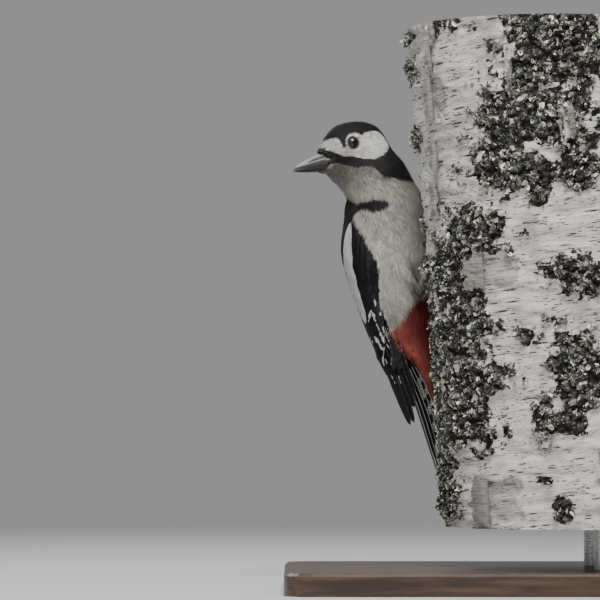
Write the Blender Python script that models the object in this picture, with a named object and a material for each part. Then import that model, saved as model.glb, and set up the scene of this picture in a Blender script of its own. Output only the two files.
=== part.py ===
"""A great spotted woodpecker, life size, clinging to a cut length of birch on a display stand.

Metres, +Z up, origin at the centre of the stand's underside. The tables are in millimetres, which MM turns
into metres. -Y is the side the bird is seen best from, and the birch leans a little towards -X, the bird's side.
"""

import math

import bmesh
import bpy
import numpy as np
from mathutils import Vector
from mathutils.bvhtree import BVHTree

MM = 0.001
GAP = 0.4  # between neighbouring solids

# Stand
BASE_SIZE = (242.0, 190.0, 12.0)
BASE_CORNER, BASE_ARRIS = 14.0, 1.5
ROD_RADIUS, ROD_SPACING = 4.0, 70.0

# Birch: an upright length whose axis leans towards -X, with a low swelling where the tail is propped
LOG_RADIUS = 75.0
LOG_FOOT, LOG_TOP = 34.0, 303.0
LOG_AXIS_X, LOG_AXIS_Y, LOG_LEAN = 45.2, -10.0, -0.083
LOG_SEGMENTS, LOG_RINGS = 44, 20
# Broken, raised bark: (bearing in degrees, height, half width in degrees, half height)
RAISED_BARK = ((-88, 284, 22, 26), (-80, 248, 27, 17), (-68, 222, 20, 12), (-52, 191, 14, 12), (-33, 168, 15, 26),
               (-88, 167, 12, 10), (-34, 138, 18, 18), (-40, 113, 22, 10), (-31, 90, 18, 16), (-88, 117, 13, 18),
               (-12, 58, 14, 20), (-140, 210, 16, 34), (-168, 120, 22, 44), (120, 250, 22, 34), (140, 90, 18, 40),
               (168, 215, 12, 22), (-130, 60, 14, 20))
BARK_RELIEF = 1.6
BIRD_HOLD = (37, 140, 34, 95)  # the same four values for the smooth bark that the bird holds
SWELL_BEARING, SWELL_Z, SWELL_HEIGHT = math.radians(15.0), 57.0, 2.0

# Bird's own frame: its middle, the bearing of its back round the vertical, and where its axis runs down to
BODY_MIDDLE = np.array([-59.5, 60.0, 175.9])
AXIS_FOOT = np.array([-31.0, 21.0, 69.3])
BACK_BEARING = math.radians(38.0)

# Body sections from the tail root to inside the head:
# (along, dorsal, right, half width, depth of back, depth of belly)
BODY_SECTIONS = (
    (-60, 2.5, 0.0, 6.5, 6.0, 4.0),
    (-57, 2.2, 0.0, 9.5, 8.5, 7.0),
    (-50, 1.5, 0.0, 12.5, 11.5, 11.0),
    (-36, 0.5, 0.0, 17.0, 15.5, 16.0),
    (-20, 0.0, 0.0, 20.5, 18.5, 20.5),
    (-4, -0.5, 0.0, 22.5, 21.0, 23.0),
    (12, -3.0, 1.5, 23.5, 22.0, 24.0),
    (24, -6.5, 3.0, 23.0, 21.5, 24.0),
    (33, -9.0, 4.5, 22.0, 20.5, 22.5),
    (41, -9.5, 7.0, 20.5, 19.5, 20.5),
    (49, -9.5, 10.0, 20.3, 19.5, 20.3),
    (58, -10.0, 14.0, 17.8, 17.5, 18.2),
    (66, -10.0, 17.0, 15.0, 14.8, 15.2),
    (73, -9.5, 18.0, 11.0, 11.0, 11.0),
)
NECK_CUT, BREAST_CUT, BELLY_CUT = 42.0, 6.0, -30.0  # along the body, from the neck's foot to the rump
HEAD_CUT, HEAD_CUT_SLOPE = -13.0, 0.45  # the plane that parts the head from the neck, in the head's frame
FLESH_VOXEL = 4.2

# Undertail: (along, dorsal, half width, depth above, depth below)
UNDERTAIL_SECTIONS = (
    (-50, 0.0, 10.5, 3.0, 10.0),
    (-62, 0.0, 9.0, 4.0, 8.5),
    (-74, -0.5, 6.2, 4.0, 6.0),
    (-87, -1.5, 2.4, 2.0, 2.2),
)

# Head: its middle, how far it turns from -X towards -Y, and how far the bill points down
HEAD_MIDDLE = np.array([-80.6, 64.0, 244.7])
HEAD_TURN, HEAD_PITCH = math.radians(38.0), math.radians(14.0)
# Head sections: (forward, half width, top, bottom)
HEAD_SECTIONS = (
    (-19.5, 6.0, 4.0, -8.0),
    (-14.5, 11.2, 10.2, -13.0),
    (-8.0, 13.5, 14.2, -15.0),
    (0.0, 14.0, 15.7, -15.5),
    (8.0, 13.0, 15.8, -14.5),
    (15.0, 11.0, 14.2, -12.5),
    (21.0, 8.4, 10.9, -10.8),
    (25.0, 6.2, 6.3, -9.0),
    (27.5, 4.6, 3.6, -7.4),
)
# Throat, between the chin and the breast: (forward, up, radius) in the head's frame
THROAT_SECTIONS = (
    (20.0, -7.0, 5.0),
    (14.0, -11.0, 8.0),
    (7.0, -18.0, 9.4),
    (0.0, -25.0, 10.6),
    (-6.0, -32.0, 10.0),
)
EYE = (10.1, 8.9, 4.5)  # forward, sideways, up
EYE_RADIUS = 4.3
# Bill: where its root and tip lie along the head, and its sizes at the root
BILL_ROOT, BILL_TIP = 20.0, 47.0
BILL_HALF_WIDTH, BILL_ABOVE, BILL_BELOW = 4.6, 6.9, 4.2
BILL_LINE_ROOT, BILL_LINE_TIP = -4.8, -3.4  # height of the mouth's line in the head

# Folded wing over the body: (along, dorsal edge, ventral edge, thickness), edges as degrees round from the back
WING_SECTIONS = (
    (41, 26, 52, 1.0),
    (37, 16, 64, 2.2),
    (30, 12, 70, 3.8),
    (22, 11, 82, 4.9),
    (10, 12, 93, 5.4),
    (-1, 12, 96, 5.2),
    (-10, 13, 89, 5.2),
    (-20, 15, 79, 5.8),
    (-31, 19, 80, 6.9),
    (-42, 25, 76, 8.2),
    (-52, 32, 70, 8.8),
)
WING_EDGE = 0.8  # thickness at the wing's edges
WING_CUT = -12.0
# Primaries: (tip along, tip dorsal, tip right, root dorsal, root right), the longest first
PRIMARIES = (
    (-92.5, 10.8, 10.8, 13.6, 12.8),
    (-92.0, 8.6, 11.3, 10.8, 13.6),
    (-84.0, 6.0, 12.4, 8.2, 14.4),
    (-77.0, 3.6, 13.6, 5.6, 15.2),
)
PRIMARY_ROOT, PRIMARY_HALF_WIDTH = -52.4, 2.8
FEATHER_THICKNESS, FEATHER_LAYER = 0.6, 1.05

# Tail: a steep roof of five feathers a side, the middle pair longest
TAIL_ROOT = (-61.4, 11.6, 0.0)
TAIL_END = (-127.5, 7.6, 2.6)
TAIL_LENGTHS = (1.0, 0.95, 0.87, 0.77, 0.66)
TAIL_STEP, TAIL_HALF_WIDTH = 2.7, 4.6
ROOF_SLOPE, ROOF_CURVE = math.radians(28.0), math.radians(36.0)

# Legs: where each foot holds the bark, either side of the bird's bearing
FOOT_BEARING, FOOT_SPREAD, FOOT_Z = math.radians(37.0), math.radians(12.0), 181.0
HEEL_DROP, HEEL_LIFT = 17.0, 12.5
TARSUS_RADIUS, TOE_RADIUS = 1.5, 1.25
# Toes: (outward, upward) reach over the bark from the foot's middle; outward is away from the other foot
TOES = ((-3.5, 15.5), (3.5, 17.5), (14.0, 5.5), (6.5, -9.0))
CLAW_LENGTH, CLAW_RADIUS = 7.0, 0.95


def unit(v):
    return np.asarray(v, float) / np.linalg.norm(v)


ALONG = unit(BODY_MIDDLE - AXIS_FOOT)
_OUT = np.array([-math.cos(BACK_BEARING), math.sin(BACK_BEARING), 0.0])
DORSAL = unit(_OUT - ALONG * (ALONG @ _OUT))
RIGHT = np.cross(ALONG, DORSAL)

FORWARD = np.array([
    -math.cos(HEAD_TURN) * math.cos(HEAD_PITCH),
    -math.sin(HEAD_TURN) * math.cos(HEAD_PITCH),
    -math.sin(HEAD_PITCH),
])
HEAD_LEFT = np.array([math.sin(HEAD_TURN), -math.cos(HEAD_TURN), 0.0])
HEAD_UP = np.cross(FORWARD, HEAD_LEFT)

FINISHES = {
    "black": ((0.020, 0.020, 0.024), 0.45, 0.0),
    "white": ((0.78, 0.76, 0.70), 0.80, 0.0),
    "buff": ((0.62, 0.55, 0.44), 0.80, 0.0),
    "crimson": ((0.42, 0.03, 0.03), 0.80, 0.0),
    "horn": ((0.11, 0.11, 0.12), 0.35, 0.0),
    "eye": ((0.06, 0.02, 0.012), 0.05, 0.0),
    "scale": ((0.18, 0.18, 0.17), 0.60, 0.0),
    "bark": ((0.66, 0.63, 0.58), 0.85, 0.0),
    "wood": ((0.055, 0.035, 0.025), 0.40, 0.0),
    "steel": ((0.55, 0.55, 0.56), 0.30, 1.0),
}


def in_body(along, dorsal, right):
    """A point given in the body's own frame."""
    return BODY_MIDDLE + ALONG * along + DORSAL * dorsal + RIGHT * right


def in_head(forward, left, up):
    """A point given in the head's own frame."""
    return HEAD_MIDDLE + FORWARD * forward + HEAD_LEFT * left + HEAD_UP * up


def smooth_rows(rows, count):
    """Catmull-Rom rows through the given ones, evenly spaced in row number."""
    rows = np.array(rows, float)
    padded = np.vstack([2 * rows[0] - rows[1], rows, 2 * rows[-1] - rows[-2]])
    made = []
    for t in np.linspace(0, len(rows) - 1, count):
        i = min(int(t), len(rows) - 2)
        f = t - i
        p0, p1, p2, p3 = padded[i:i + 4]
        made.append(0.5 * (2 * p1 + (p2 - p0) * f + (2 * p0 - 5 * p1 + 4 * p2 - p3) * f ** 2
                           + (3 * p1 - p0 - 3 * p2 + p3) * f ** 3))
    return np.array(made)


def clear_scene():
    for obj in list(bpy.data.objects):
        bpy.data.objects.remove(obj)


def own_material(name, finish):
    colour, roughness, metallic = FINISHES[finish]
    made = bpy.data.materials.new(name)
    made.use_nodes = True
    shader = made.node_tree.nodes["Principled BSDF"]
    shader.inputs["Base Color"].default_value = (*colour, 1)
    shader.inputs["Roughness"].default_value = roughness
    shader.inputs["Metallic"].default_value = metallic
    return made


def link(name, mesh, finish):
    """An object with its own material. With no finish it is a guide, left out of the part."""
    obj = bpy.data.objects.new(name, mesh)
    bpy.context.scene.collection.objects.link(obj)
    mesh.materials.clear()
    mesh.shade_smooth()
    mesh.set_sharp_from_angle(angle=math.radians(40))
    if finish:
        mesh.materials.append(own_material(name, finish))
    else:
        obj.hide_render = True
        obj.display_type = "WIRE"
    return obj


def to_mesh(name, bm):
    bmesh.ops.recalc_face_normals(bm, faces=bm.faces)
    mesh = bpy.data.meshes.new(name)
    bm.to_mesh(mesh)
    bm.free()
    return mesh


def loft(rings):
    """A closed bmesh, in metres, through rings of points in millimetres, with flat ends."""
    bm = bmesh.new()
    made = [[bm.verts.new(Vector(p) * MM) for p in ring] for ring in rings]
    for low, high in zip(made, made[1:]):
        for i in range(len(low)):
            j = (i + 1) % len(low)
            bm.faces.new((low[i], low[j], high[j], high[i]))
    bm.faces.new(made[0][::-1])
    bm.faces.new(made[-1])
    bmesh.ops.recalc_face_normals(bm, faces=bm.faces)
    return bm


def tube_rings(points, radii, sides):
    """Rings round a path given in millimetres."""
    points = np.array(points, float)
    tangents = np.gradient(points, axis=0)
    side = unit(np.cross(tangents[0], [0.31, 0.17, 0.93]))
    rings = []
    for point, tangent, radius in zip(points, tangents, radii):
        across = unit(side - unit(tangent) * (unit(tangent) @ side))
        other = np.cross(unit(tangent), across)
        rings.append([point + radius * (across * math.cos(a) + other * math.sin(a))
                      for a in np.linspace(0, 2 * math.pi, sides, endpoint=False)])
    return rings


def bend(start, middle, end, count):
    """Points on a quadratic curve that passes near the middle point."""
    t = np.linspace(0, 1, count)[:, None]
    return (1 - t) ** 2 * start + 2 * t * (1 - t) * middle + t ** 2 * end


def cut_with(obj, cutter_mesh, operation="DIFFERENCE"):
    cutter = link(obj.name + "_cutter", cutter_mesh, None)
    boolean = obj.modifiers.new("cut", "BOOLEAN")
    boolean.operation = operation
    boolean.object = cutter


# Stand and perch

def log_axis(z):
    return np.array([LOG_AXIS_X + LOG_LEAN * z, LOG_AXIS_Y, z])


def ramp(low, high, value):
    """A smooth step from 0 at low to 1 at high."""
    t = min(max((value - low) / (high - low), 0.0), 1.0)
    return t * t * (3 - 2 * t)


def oval_distance(oval, bearing, z):
    """0 at the middle of an oval on the bark, 1 at its edge."""
    degrees, height, half_width, half_height = oval
    turn = (math.degrees(bearing) - degrees + 180) % 360 - 180
    return math.hypot(turn / half_width, (z - height) / half_height)


def bark_relief(bearing, z):
    broken = max(ramp(1.3, 0.7, oval_distance(oval, bearing, z)) for oval in RAISED_BARK)
    return BARK_RELIEF * broken * ramp(1.0, 1.35, oval_distance(BIRD_HOLD, bearing, z))


def log_radius(bearing, z):
    swell = math.exp(-((bearing - SWELL_BEARING) * LOG_RADIUS / 11) ** 2 - ((z - SWELL_Z) / 13) ** 2)
    waves = 0.7 * math.cos(3 * bearing + z / 60) + 0.4 * math.cos(7 * bearing - z / 35)
    return LOG_RADIUS + waves + SWELL_HEIGHT * swell + bark_relief(bearing, z)


def log_point(bearing, z, lift=0.0):
    """On the bark. Bearing 0 is the -X side, and it grows towards +Y."""
    out = np.array([-math.cos(bearing), math.sin(bearing), 0.0])
    return log_axis(z) + out * (log_radius(bearing, z) + lift)


def build_log():
    bearings = np.linspace(-math.pi, math.pi, LOG_SEGMENTS, endpoint=False)
    rings = [[log_point(b, z) for b in bearings] for z in np.linspace(LOG_FOOT, LOG_TOP, LOG_RINGS)]
    link("perch_log", to_mesh("perch_log", loft(rings)), "bark")


def build_stand():
    width, depth, height = BASE_SIZE
    outline = []
    for sx, sy, start in ((1, 1, 0), (-1, 1, 90), (-1, -1, 180), (1, -1, 270)):
        for a in np.radians(np.linspace(start, start + 90, 7)):
            outline.append((sx * (width / 2 - BASE_CORNER) + BASE_CORNER * math.cos(a),
                            sy * (depth / 2 - BASE_CORNER) + BASE_CORNER * math.sin(a)))
    outline = np.array(outline)
    inner = outline * (1 - 2 * BASE_ARRIS / np.array([width, depth]))
    levels = ((outline, 0), (outline, height - BASE_ARRIS), (inner, height))
    rings = [[(*p, z) for p in ring] for ring, z in levels]
    link("stand_base", to_mesh("stand_base", loft(rings)), "wood")
    for i, y in enumerate((-ROD_SPACING / 2, ROD_SPACING / 2)):
        foot = np.array([log_axis(0)[0] + 2.0, LOG_AXIS_Y + y, height + GAP])
        rod = loft(tube_rings([foot, [foot[0], foot[1], LOG_FOOT - GAP]], [ROD_RADIUS] * 2, 24))
        name = "stand_rod_%d" % (i + 1)
        link(name, to_mesh(name, rod), "steel")


# Flesh

def body_rings():
    rows = smooth_rows(BODY_SECTIONS, 4 * len(BODY_SECTIONS))
    centres = np.array([in_body(*row[:3]) for row in rows])
    tangents = np.gradient(centres, axis=0)
    rings = []
    for centre, tangent, (_, _, _, half, back, belly) in zip(centres, tangents, rows):
        dorsal = unit(DORSAL - unit(tangent) * (unit(tangent) @ DORSAL))
        right = np.cross(unit(tangent), dorsal)
        ring = []
        for a in np.linspace(0, 2 * math.pi, 28, endpoint=False):
            depth = back if math.cos(a) > 0 else belly
            ring.append(centre + dorsal * depth * math.cos(a) + right * half * math.sin(a))
        rings.append(ring)
    return rings


def head_rings():
    rings = []
    for forward, half, top, bottom in smooth_rows(HEAD_SECTIONS, 3 * len(HEAD_SECTIONS)):
        middle, tall = (top + bottom) / 2, (top - bottom) / 2
        rings.append([in_head(forward, half * math.sin(a), middle + tall * math.cos(a))
                      for a in np.linspace(0, 2 * math.pi, 28, endpoint=False)])
    return rings


def flesh_mesh():
    """Head, neck and body fused into one smooth closed mesh."""
    bm = loft(body_rings())
    bm.from_mesh(to_mesh("head_loft", loft(head_rings())))
    throat = [in_head(forward, 0, up) for forward, up, _ in THROAT_SECTIONS]
    bm.from_mesh(to_mesh("throat_loft", loft(tube_rings(throat, [row[2] for row in THROAT_SECTIONS], 20))))
    whole = link("flesh", to_mesh("flesh", bm), None)
    fuse = whole.modifiers.new("fuse", "REMESH")
    fuse.mode = "VOXEL"
    fuse.voxel_size = FLESH_VOXEL * MM
    even = whole.modifiers.new("even", "SMOOTH")
    even.iterations = 3
    even.factor = 0.5
    graph = bpy.context.evaluated_depsgraph_get()
    return bpy.data.meshes.new_from_object(whole.evaluated_get(graph))


def swollen(mesh, amount):
    """A copy of a mesh with its points moved out along their normals."""
    grown = mesh.copy()
    for vertex in grown.vertices:
        vertex.co += vertex.normal * amount * MM
    return grown


def slab(mesh, name, finish, cuts):
    """The part of a closed mesh on the inner side of each cut: (point, outward normal)."""
    bm = bmesh.new()
    bm.from_mesh(mesh)
    for point, normal in cuts:
        everything = bm.verts[:] + bm.edges[:] + bm.faces[:]
        bmesh.ops.bisect_plane(bm, geom=everything, plane_co=Vector(point) * MM, plane_no=Vector(normal),
                               clear_outer=True)
        bmesh.ops.holes_fill(bm, edges=[e for e in bm.edges if e.is_boundary])
    return link(name, to_mesh(name, bm), finish)


def both_sides(point, normal):
    """Two cuts either side of a plane, a gap apart: one keeps what is behind it, the other what is ahead."""
    normal = unit(normal)
    return (point - normal * GAP / 2, normal), (point + normal * GAP / 2, -normal)


def build_flesh(flesh):
    body_side, head_side = both_sides(in_head(0, 0, HEAD_CUT), HEAD_UP + FORWARD * HEAD_CUT_SLOPE)
    below_neck, above_breast = both_sides(in_body(NECK_CUT, 0, 0), ALONG + 0.25 * RIGHT)
    below_breast, above_belly = both_sides(in_body(BREAST_CUT, 0, 0), ALONG)
    below_belly, above_rump = both_sides(in_body(BELLY_CUT, 0, 0), ALONG + 0.35 * DORSAL)
    head = slab(flesh, "head", "black", [head_side])
    for side in (1, -1):
        cut_with(head, to_mesh("socket", eye_ball(side, EYE_RADIUS + GAP)))
    cut_with(head, to_mesh("bill_root", bill_socket()))
    slab(flesh, "neck", "black", [body_side, above_breast])
    slab(flesh, "breast", "buff", [below_neck, above_belly])
    slab(flesh, "belly", "buff", [below_breast, above_rump])
    slab(flesh, "rump", "crimson", [below_belly])


def build_undertail(flesh):
    rings = []
    for along, dorsal, half, above, below in smooth_rows(UNDERTAIL_SECTIONS, 8):
        ring = []
        for a in np.linspace(0, 2 * math.pi, 14, endpoint=False):
            depth = above if math.cos(a) > 0 else below
            ring.append(in_body(along, dorsal + depth * math.cos(a), half * math.sin(a)))
        rings.append(ring)
    obj = link("undertail", to_mesh("undertail", loft(rings)), "crimson")
    cut_with(obj, swollen(flesh, GAP))
    cut_with(obj, to_mesh("tail_roof", tail_roof()))


# Head's hard parts

def eye_ball(side, radius):
    bm = bmesh.new()
    bmesh.ops.create_icosphere(bm, subdivisions=2, radius=radius * MM)
    bmesh.ops.translate(bm, verts=bm.verts, vec=Vector(in_head(EYE[0], side * EYE[1], EYE[2])) * MM)
    return bm


def bill_sections(grow):
    """Rows along the bill: forward, half width, mouth's line, height above it and depth below it."""
    rows = []
    for t in (0.0, 0.15, 0.35, 0.55, 0.75, 0.9, 0.975, 1.0):
        slim = (1 - t) ** 0.85 if t < 0.95 else 0.05 ** 0.85 * (1.6 - t) / 0.65
        forward = BILL_ROOT - grow + t * (BILL_TIP - BILL_ROOT)
        line = BILL_LINE_ROOT + t * (BILL_LINE_TIP - BILL_LINE_ROOT)
        half = max(BILL_HALF_WIDTH * slim, 0.55) + grow
        above = max(BILL_ABOVE * slim, 0.6) + grow
        below = max(BILL_BELOW * slim, 0.6) + grow
        rows.append((forward, half, line, above, below))
    return rows


def bill_profile(half, line, tall):
    """Points round one half of the bill, from its right edge over the ridge; tall is negative below."""
    right = [(-half, line), (-half, line + 0.25 * tall), (-half * 0.72, line + 0.68 * tall),
             (-half * 0.22, line + tall)]
    return right + [(-x, y) for x, y in right[::-1]]


def bill_half(side):
    """Side 1 is the upper half and -1 the lower."""
    rings = []
    for forward, half, line, above, below in bill_sections(0.0):
        tall = above if side == 1 else -below
        rings.append([in_head(forward, *point) for point in bill_profile(half, line + side * GAP / 2, tall)])
    return loft(rings)


def bill_socket():
    """The whole bill, a gap larger all round."""
    rings = []
    for forward, half, line, above, below in bill_sections(GAP):
        upper = bill_profile(half, line, above + GAP / 2)
        lower = bill_profile(half, line, -below - GAP / 2)
        rings.append([in_head(forward, *point) for point in upper[1:-1] + lower[-2:0:-1]])
    return loft(rings)


def build_face():
    for name, side in (("eye_left", 1), ("eye_right", -1)):
        link(name, to_mesh(name, eye_ball(side, EYE_RADIUS)), "eye")
    for name, side in (("bill_upper", 1), ("bill_lower", -1)):
        link(name, to_mesh(name, bill_half(side)), "horn")


# Feathers

def blade(name, centres, sideways, outward, halves, finish):
    """A thin feather: its quill line, its two directions, its half width along it, all in millimetres."""
    rings = []
    for centre, across, out, half in zip(centres, sideways, outward, halves):
        half = max(half, 0.4)
        low, high = -out * FEATHER_THICKNESS / 2, out * FEATHER_THICKNESS / 2
        crown = out * 0.3
        inner = [centre - across * half + low, centre + low + crown, centre + across * half + low]
        outer = [centre + across * half + high, centre + high + crown, centre - across * half + high]
        rings.append(inner + outer)
    return link(name, to_mesh(name, loft(rings)), finish)


def wing_ring(tree, row, side, columns):
    """A crescent section of the folded wing, standing on the body."""
    along, first, last, thick = row
    middle = in_body(along, np.interp(along, [-50, 12, 45], [1.5, -3.0, -9.5]),
                     np.interp(along, [-4, 12, 45], [0.0, 1.5, 8.5]))
    inner, outer = [], []
    for t in np.linspace(0, 1, columns):
        angle = math.radians(first + (last - first) * t)
        out = DORSAL * math.cos(angle) + RIGHT * math.sin(angle) * side
        hit = tree.ray_cast(Vector(middle + out * 60) * MM, Vector(-out))[0]
        skin = (np.array(hit) / MM - middle) @ out + GAP
        shape = WING_EDGE + (thick - WING_EDGE) * math.sin(math.pi * t ** 0.8) ** 0.6
        inner.append(middle + out * skin)
        outer.append(middle + out * (skin + shape))
    return outer + inner[::-1]


def build_wing(flesh, side, word):
    tree = BVHTree.FromPolygons([v.co for v in flesh.vertices], [p.vertices for p in flesh.polygons])
    table = smooth_rows(WING_SECTIONS, 60)[::-1]
    head_end, tail_end = WING_SECTIONS[0][0], WING_SECTIONS[-1][0]
    for part, top, bottom, count in (("coverts", head_end, WING_CUT + GAP / 2, 12),
                                     ("secondaries", WING_CUT - GAP / 2, tail_end, 9)):
        rings = []
        for along in np.linspace(top, bottom, count):
            row = [np.interp(along, table[:, 0], column) for column in table.T]
            rings.append(wing_ring(tree, row, side, 8))
        name = "wing_%s_%s" % (word, part)
        link(name, to_mesh(name, loft(rings)), "black")


def build_primaries(side, word):
    for i, (tip_along, tip_dorsal, tip_right, root_dorsal, root_right) in enumerate(PRIMARIES):
        root = in_body(PRIMARY_ROOT - GAP, root_dorsal, side * root_right)
        tip = in_body(tip_along, tip_dorsal, side * tip_right)
        t = np.linspace(0, 1, 7)
        across = unit(DORSAL * 0.97 - RIGHT * side * 0.24)
        out = unit(RIGHT * side * 0.97 + DORSAL * 0.24)
        centres = root - out * i * FEATHER_LAYER + (tip - root) * t[:, None]
        halves = PRIMARY_HALF_WIDTH * np.minimum(1, 1.3 * (1 - t) ** 0.5)
        name = "wing_%s_primary_%d" % (word, i + 1)
        blade(name, centres, [across] * len(t), [out] * len(t), halves, "black")


def tail_axis():
    """The tail's root, its direction towards the tip, the way its ridge faces, and its length."""
    root, end = in_body(*TAIL_ROOT), in_body(*TAIL_END)
    down = unit(end - root)
    return root, down, unit(DORSAL - down * (DORSAL @ down)), np.linalg.norm(end - root)


def tail_place(side, i, reach):
    """Feather i of the tail, at a distance from its root: its middle, the way across it and the way it faces."""
    root, down, dorsal, _ = tail_axis()
    right = np.cross(-down, dorsal) * side
    spread = tail_swell(reach) * (TAIL_STEP * i + TAIL_HALF_WIDTH + 0.35)
    slope = ROOF_SLOPE + ROOF_CURVE * spread / 16
    mean = ROOF_SLOPE + 0.5 * ROOF_CURVE * spread / 16
    out = dorsal * math.cos(slope) + right * math.sin(slope)
    middle = root + down * reach + (right * math.cos(mean) - dorsal * math.sin(mean)) * spread
    return middle - out * i * FEATHER_LAYER, right * math.cos(slope) - dorsal * math.sin(slope), out


def tail_swell(reach):
    """The tail is narrow where it leaves the body and soon reaches its full width."""
    return 0.62 + 0.38 * min(1.0, reach / 30)


def build_tail(side, word):
    length = tail_axis()[3]
    for i, part in enumerate(TAIL_LENGTHS):
        t = np.linspace(0, 1, 9)
        centres, across, outward = zip(*[tail_place(side, i, step * part * length) for step in t])
        pointed = 1.35 if i < 3 else 2.2
        halves = [TAIL_HALF_WIDTH * tail_swell(step * part * length) * min(1, pointed * (1 - step) ** 0.7)
                  for step in t]
        blade("tail_%s_%d" % (word, i + 1), centres, across, outward, halves, "black" if i < 3 else "white")


def tail_roof():
    """Everything on and outside the tail's underside, to cut away what would meet its feathers."""
    root, down, dorsal, _ = tail_axis()
    right = np.cross(-down, dorsal)
    rings = []
    for reach in np.linspace(-14, 40, 8):
        ring = []
        for side in (1, -1):
            middle, across, out = tail_place(side, len(TAIL_LENGTHS) - 1, max(reach, 0))
            middle = middle + down * min(reach, 0) - out * (FEATHER_THICKNESS / 2 + GAP)
            reach_out = middle + across * (TAIL_HALF_WIDTH + GAP)
            far = reach_out + right * side * 30
            ring.append([middle - across * (TAIL_HALF_WIDTH + GAP), middle, reach_out, far, far + dorsal * 60])
        ridge = root + down * reach - dorsal * FEATHER_LAYER * len(TAIL_LENGTHS)
        rings.append([ridge] + ring[0] + ring[1][::-1])
    return loft(rings)


# Legs

def foot_place(side, outward, upward, lift):
    """A point over the bark, from the foot's middle, in millimetres round and up the birch."""
    bearing = FOOT_BEARING - side * (FOOT_SPREAD + outward / LOG_RADIUS)
    return log_point(bearing, FOOT_Z + upward, lift)


def build_leg(flesh, side, word):
    heel = foot_place(side, -1.5, -HEEL_DROP, HEEL_LIFT)
    ankle = foot_place(side, 0, 0, TARSUS_RADIUS + 1.0)
    hip = in_body(6, -8, side * 11)
    thigh_end = heel + unit(hip - heel) * (TARSUS_RADIUS + 2 * GAP)
    thigh_path = bend(hip, (hip + thigh_end) / 2 + DORSAL * 1.5, thigh_end, 6)
    name = "thigh_" + word
    thigh = link(name, to_mesh(name, loft(tube_rings(thigh_path, [8.0, 7.4, 6.2, 4.8, 3.6, 2.6], 14))), "buff")
    cut_with(thigh, swollen(flesh, GAP))
    name = "foot_" + word
    shank = tube_rings(bend(heel, (heel + ankle) / 2 + ALONG, ankle, 5), [1.7, 1.35, 1.35, 1.45, 1.6], 6)
    foot = link(name, to_mesh(name, loft(shank)), "scale")
    for i, (outward, upward) in enumerate(TOES):
        reach = math.hypot(outward, upward)
        lifts = [TOE_RADIUS + 1.2, TOE_RADIUS + 0.8, TOE_RADIUS + 0.9, TOE_RADIUS + 0.45, TOE_RADIUS + 0.5]
        steps = [-0.05, 0.25, 0.5, 0.8, 1.0]
        path = [foot_place(side, outward * k, upward * k, lift) for k, lift in zip(steps, lifts)]
        radii = np.array([1.15, 1.0, 1.05, 0.92, 0.85]) * TOE_RADIUS
        cut_with(foot, to_mesh("toe", loft(tube_rings(path, radii, 6))), "UNION")
        tips = [1 + (GAP + k) / reach for k in (0.1, CLAW_LENGTH * 0.35, CLAW_LENGTH * 0.7, CLAW_LENGTH * 0.9)]
        rises = [CLAW_RADIUS + 0.6, CLAW_RADIUS + 1.9, CLAW_RADIUS + 1.2, 0.75]
        path = [foot_place(side, outward * k, upward * k, rise) for k, rise in zip(tips, rises)]
        name = "claw_%s_%d" % (word, i + 1)
        link(name, to_mesh(name, loft(tube_rings(path, [CLAW_RADIUS, 0.85, 0.55, 0.3], 8))), "horn")


def main():
    clear_scene()
    build_stand()
    build_log()
    flesh = flesh_mesh()
    build_flesh(flesh)
    build_undertail(flesh)
    build_face()
    for side, word in ((1, "right"), (-1, "left")):
        build_wing(flesh, side, word)
        build_primaries(side, word)
        build_tail(side, word)
        build_leg(flesh, side, word)


main()
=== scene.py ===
"""Great spotted woodpecker on a cut length of birch: the looks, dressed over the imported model.

Scene units are metres. Tables and helper functions work in millimetres, and objects take them times MM.
The bird's own frames are the ones its solids were built in: in the body along points from tail to neck,
dorsal out of the back and right to the bird's right; in the head forward, left and up.
"""
import math

import bpy
import numpy as np
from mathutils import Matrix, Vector, noise
from mathutils.bvhtree import BVHTree


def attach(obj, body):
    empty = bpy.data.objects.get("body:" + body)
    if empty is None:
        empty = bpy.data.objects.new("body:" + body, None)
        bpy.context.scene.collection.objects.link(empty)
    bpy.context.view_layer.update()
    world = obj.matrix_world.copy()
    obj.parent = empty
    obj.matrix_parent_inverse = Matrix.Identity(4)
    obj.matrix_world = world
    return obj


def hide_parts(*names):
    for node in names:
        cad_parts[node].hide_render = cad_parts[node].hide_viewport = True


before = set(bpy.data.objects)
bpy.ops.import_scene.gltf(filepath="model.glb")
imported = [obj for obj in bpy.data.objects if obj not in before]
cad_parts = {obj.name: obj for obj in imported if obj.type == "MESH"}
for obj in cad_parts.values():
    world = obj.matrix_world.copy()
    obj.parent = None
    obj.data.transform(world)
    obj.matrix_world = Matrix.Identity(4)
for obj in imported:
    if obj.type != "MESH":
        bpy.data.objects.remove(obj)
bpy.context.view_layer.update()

MM = 0.001
rng = np.random.default_rng(11)

# The bird's frames: two points of the body's axis, the bearing that the back faces, and the head
BODY_MIDDLE = np.array([-59.5, 60.0, 175.9])
AXIS_FOOT = np.array([-31.0, 21.0, 69.3])
BACK_BEARING = math.radians(38.0)
HEAD_MIDDLE = np.array([-80.6, 64.0, 244.7])
HEAD_TURN, HEAD_PITCH = math.radians(38.0), math.radians(14.0)
EYE = (10.1, 8.9, 4.5)  # forward, left and up of the left eye's socket
EYE_RADIUS = 4.3
LID_DROP = 0.35  # the opening between the lids, and the ball in it, sit this much under the socket's middle

# Birch
LOG_RADIUS, LOG_FOOT, LOG_TOP = 75.0, 34.0, 303.0
LOG_AXIS_X, LOG_AXIS_Y, LOG_LEAN = 45.2, -10.0, -0.083
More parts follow.
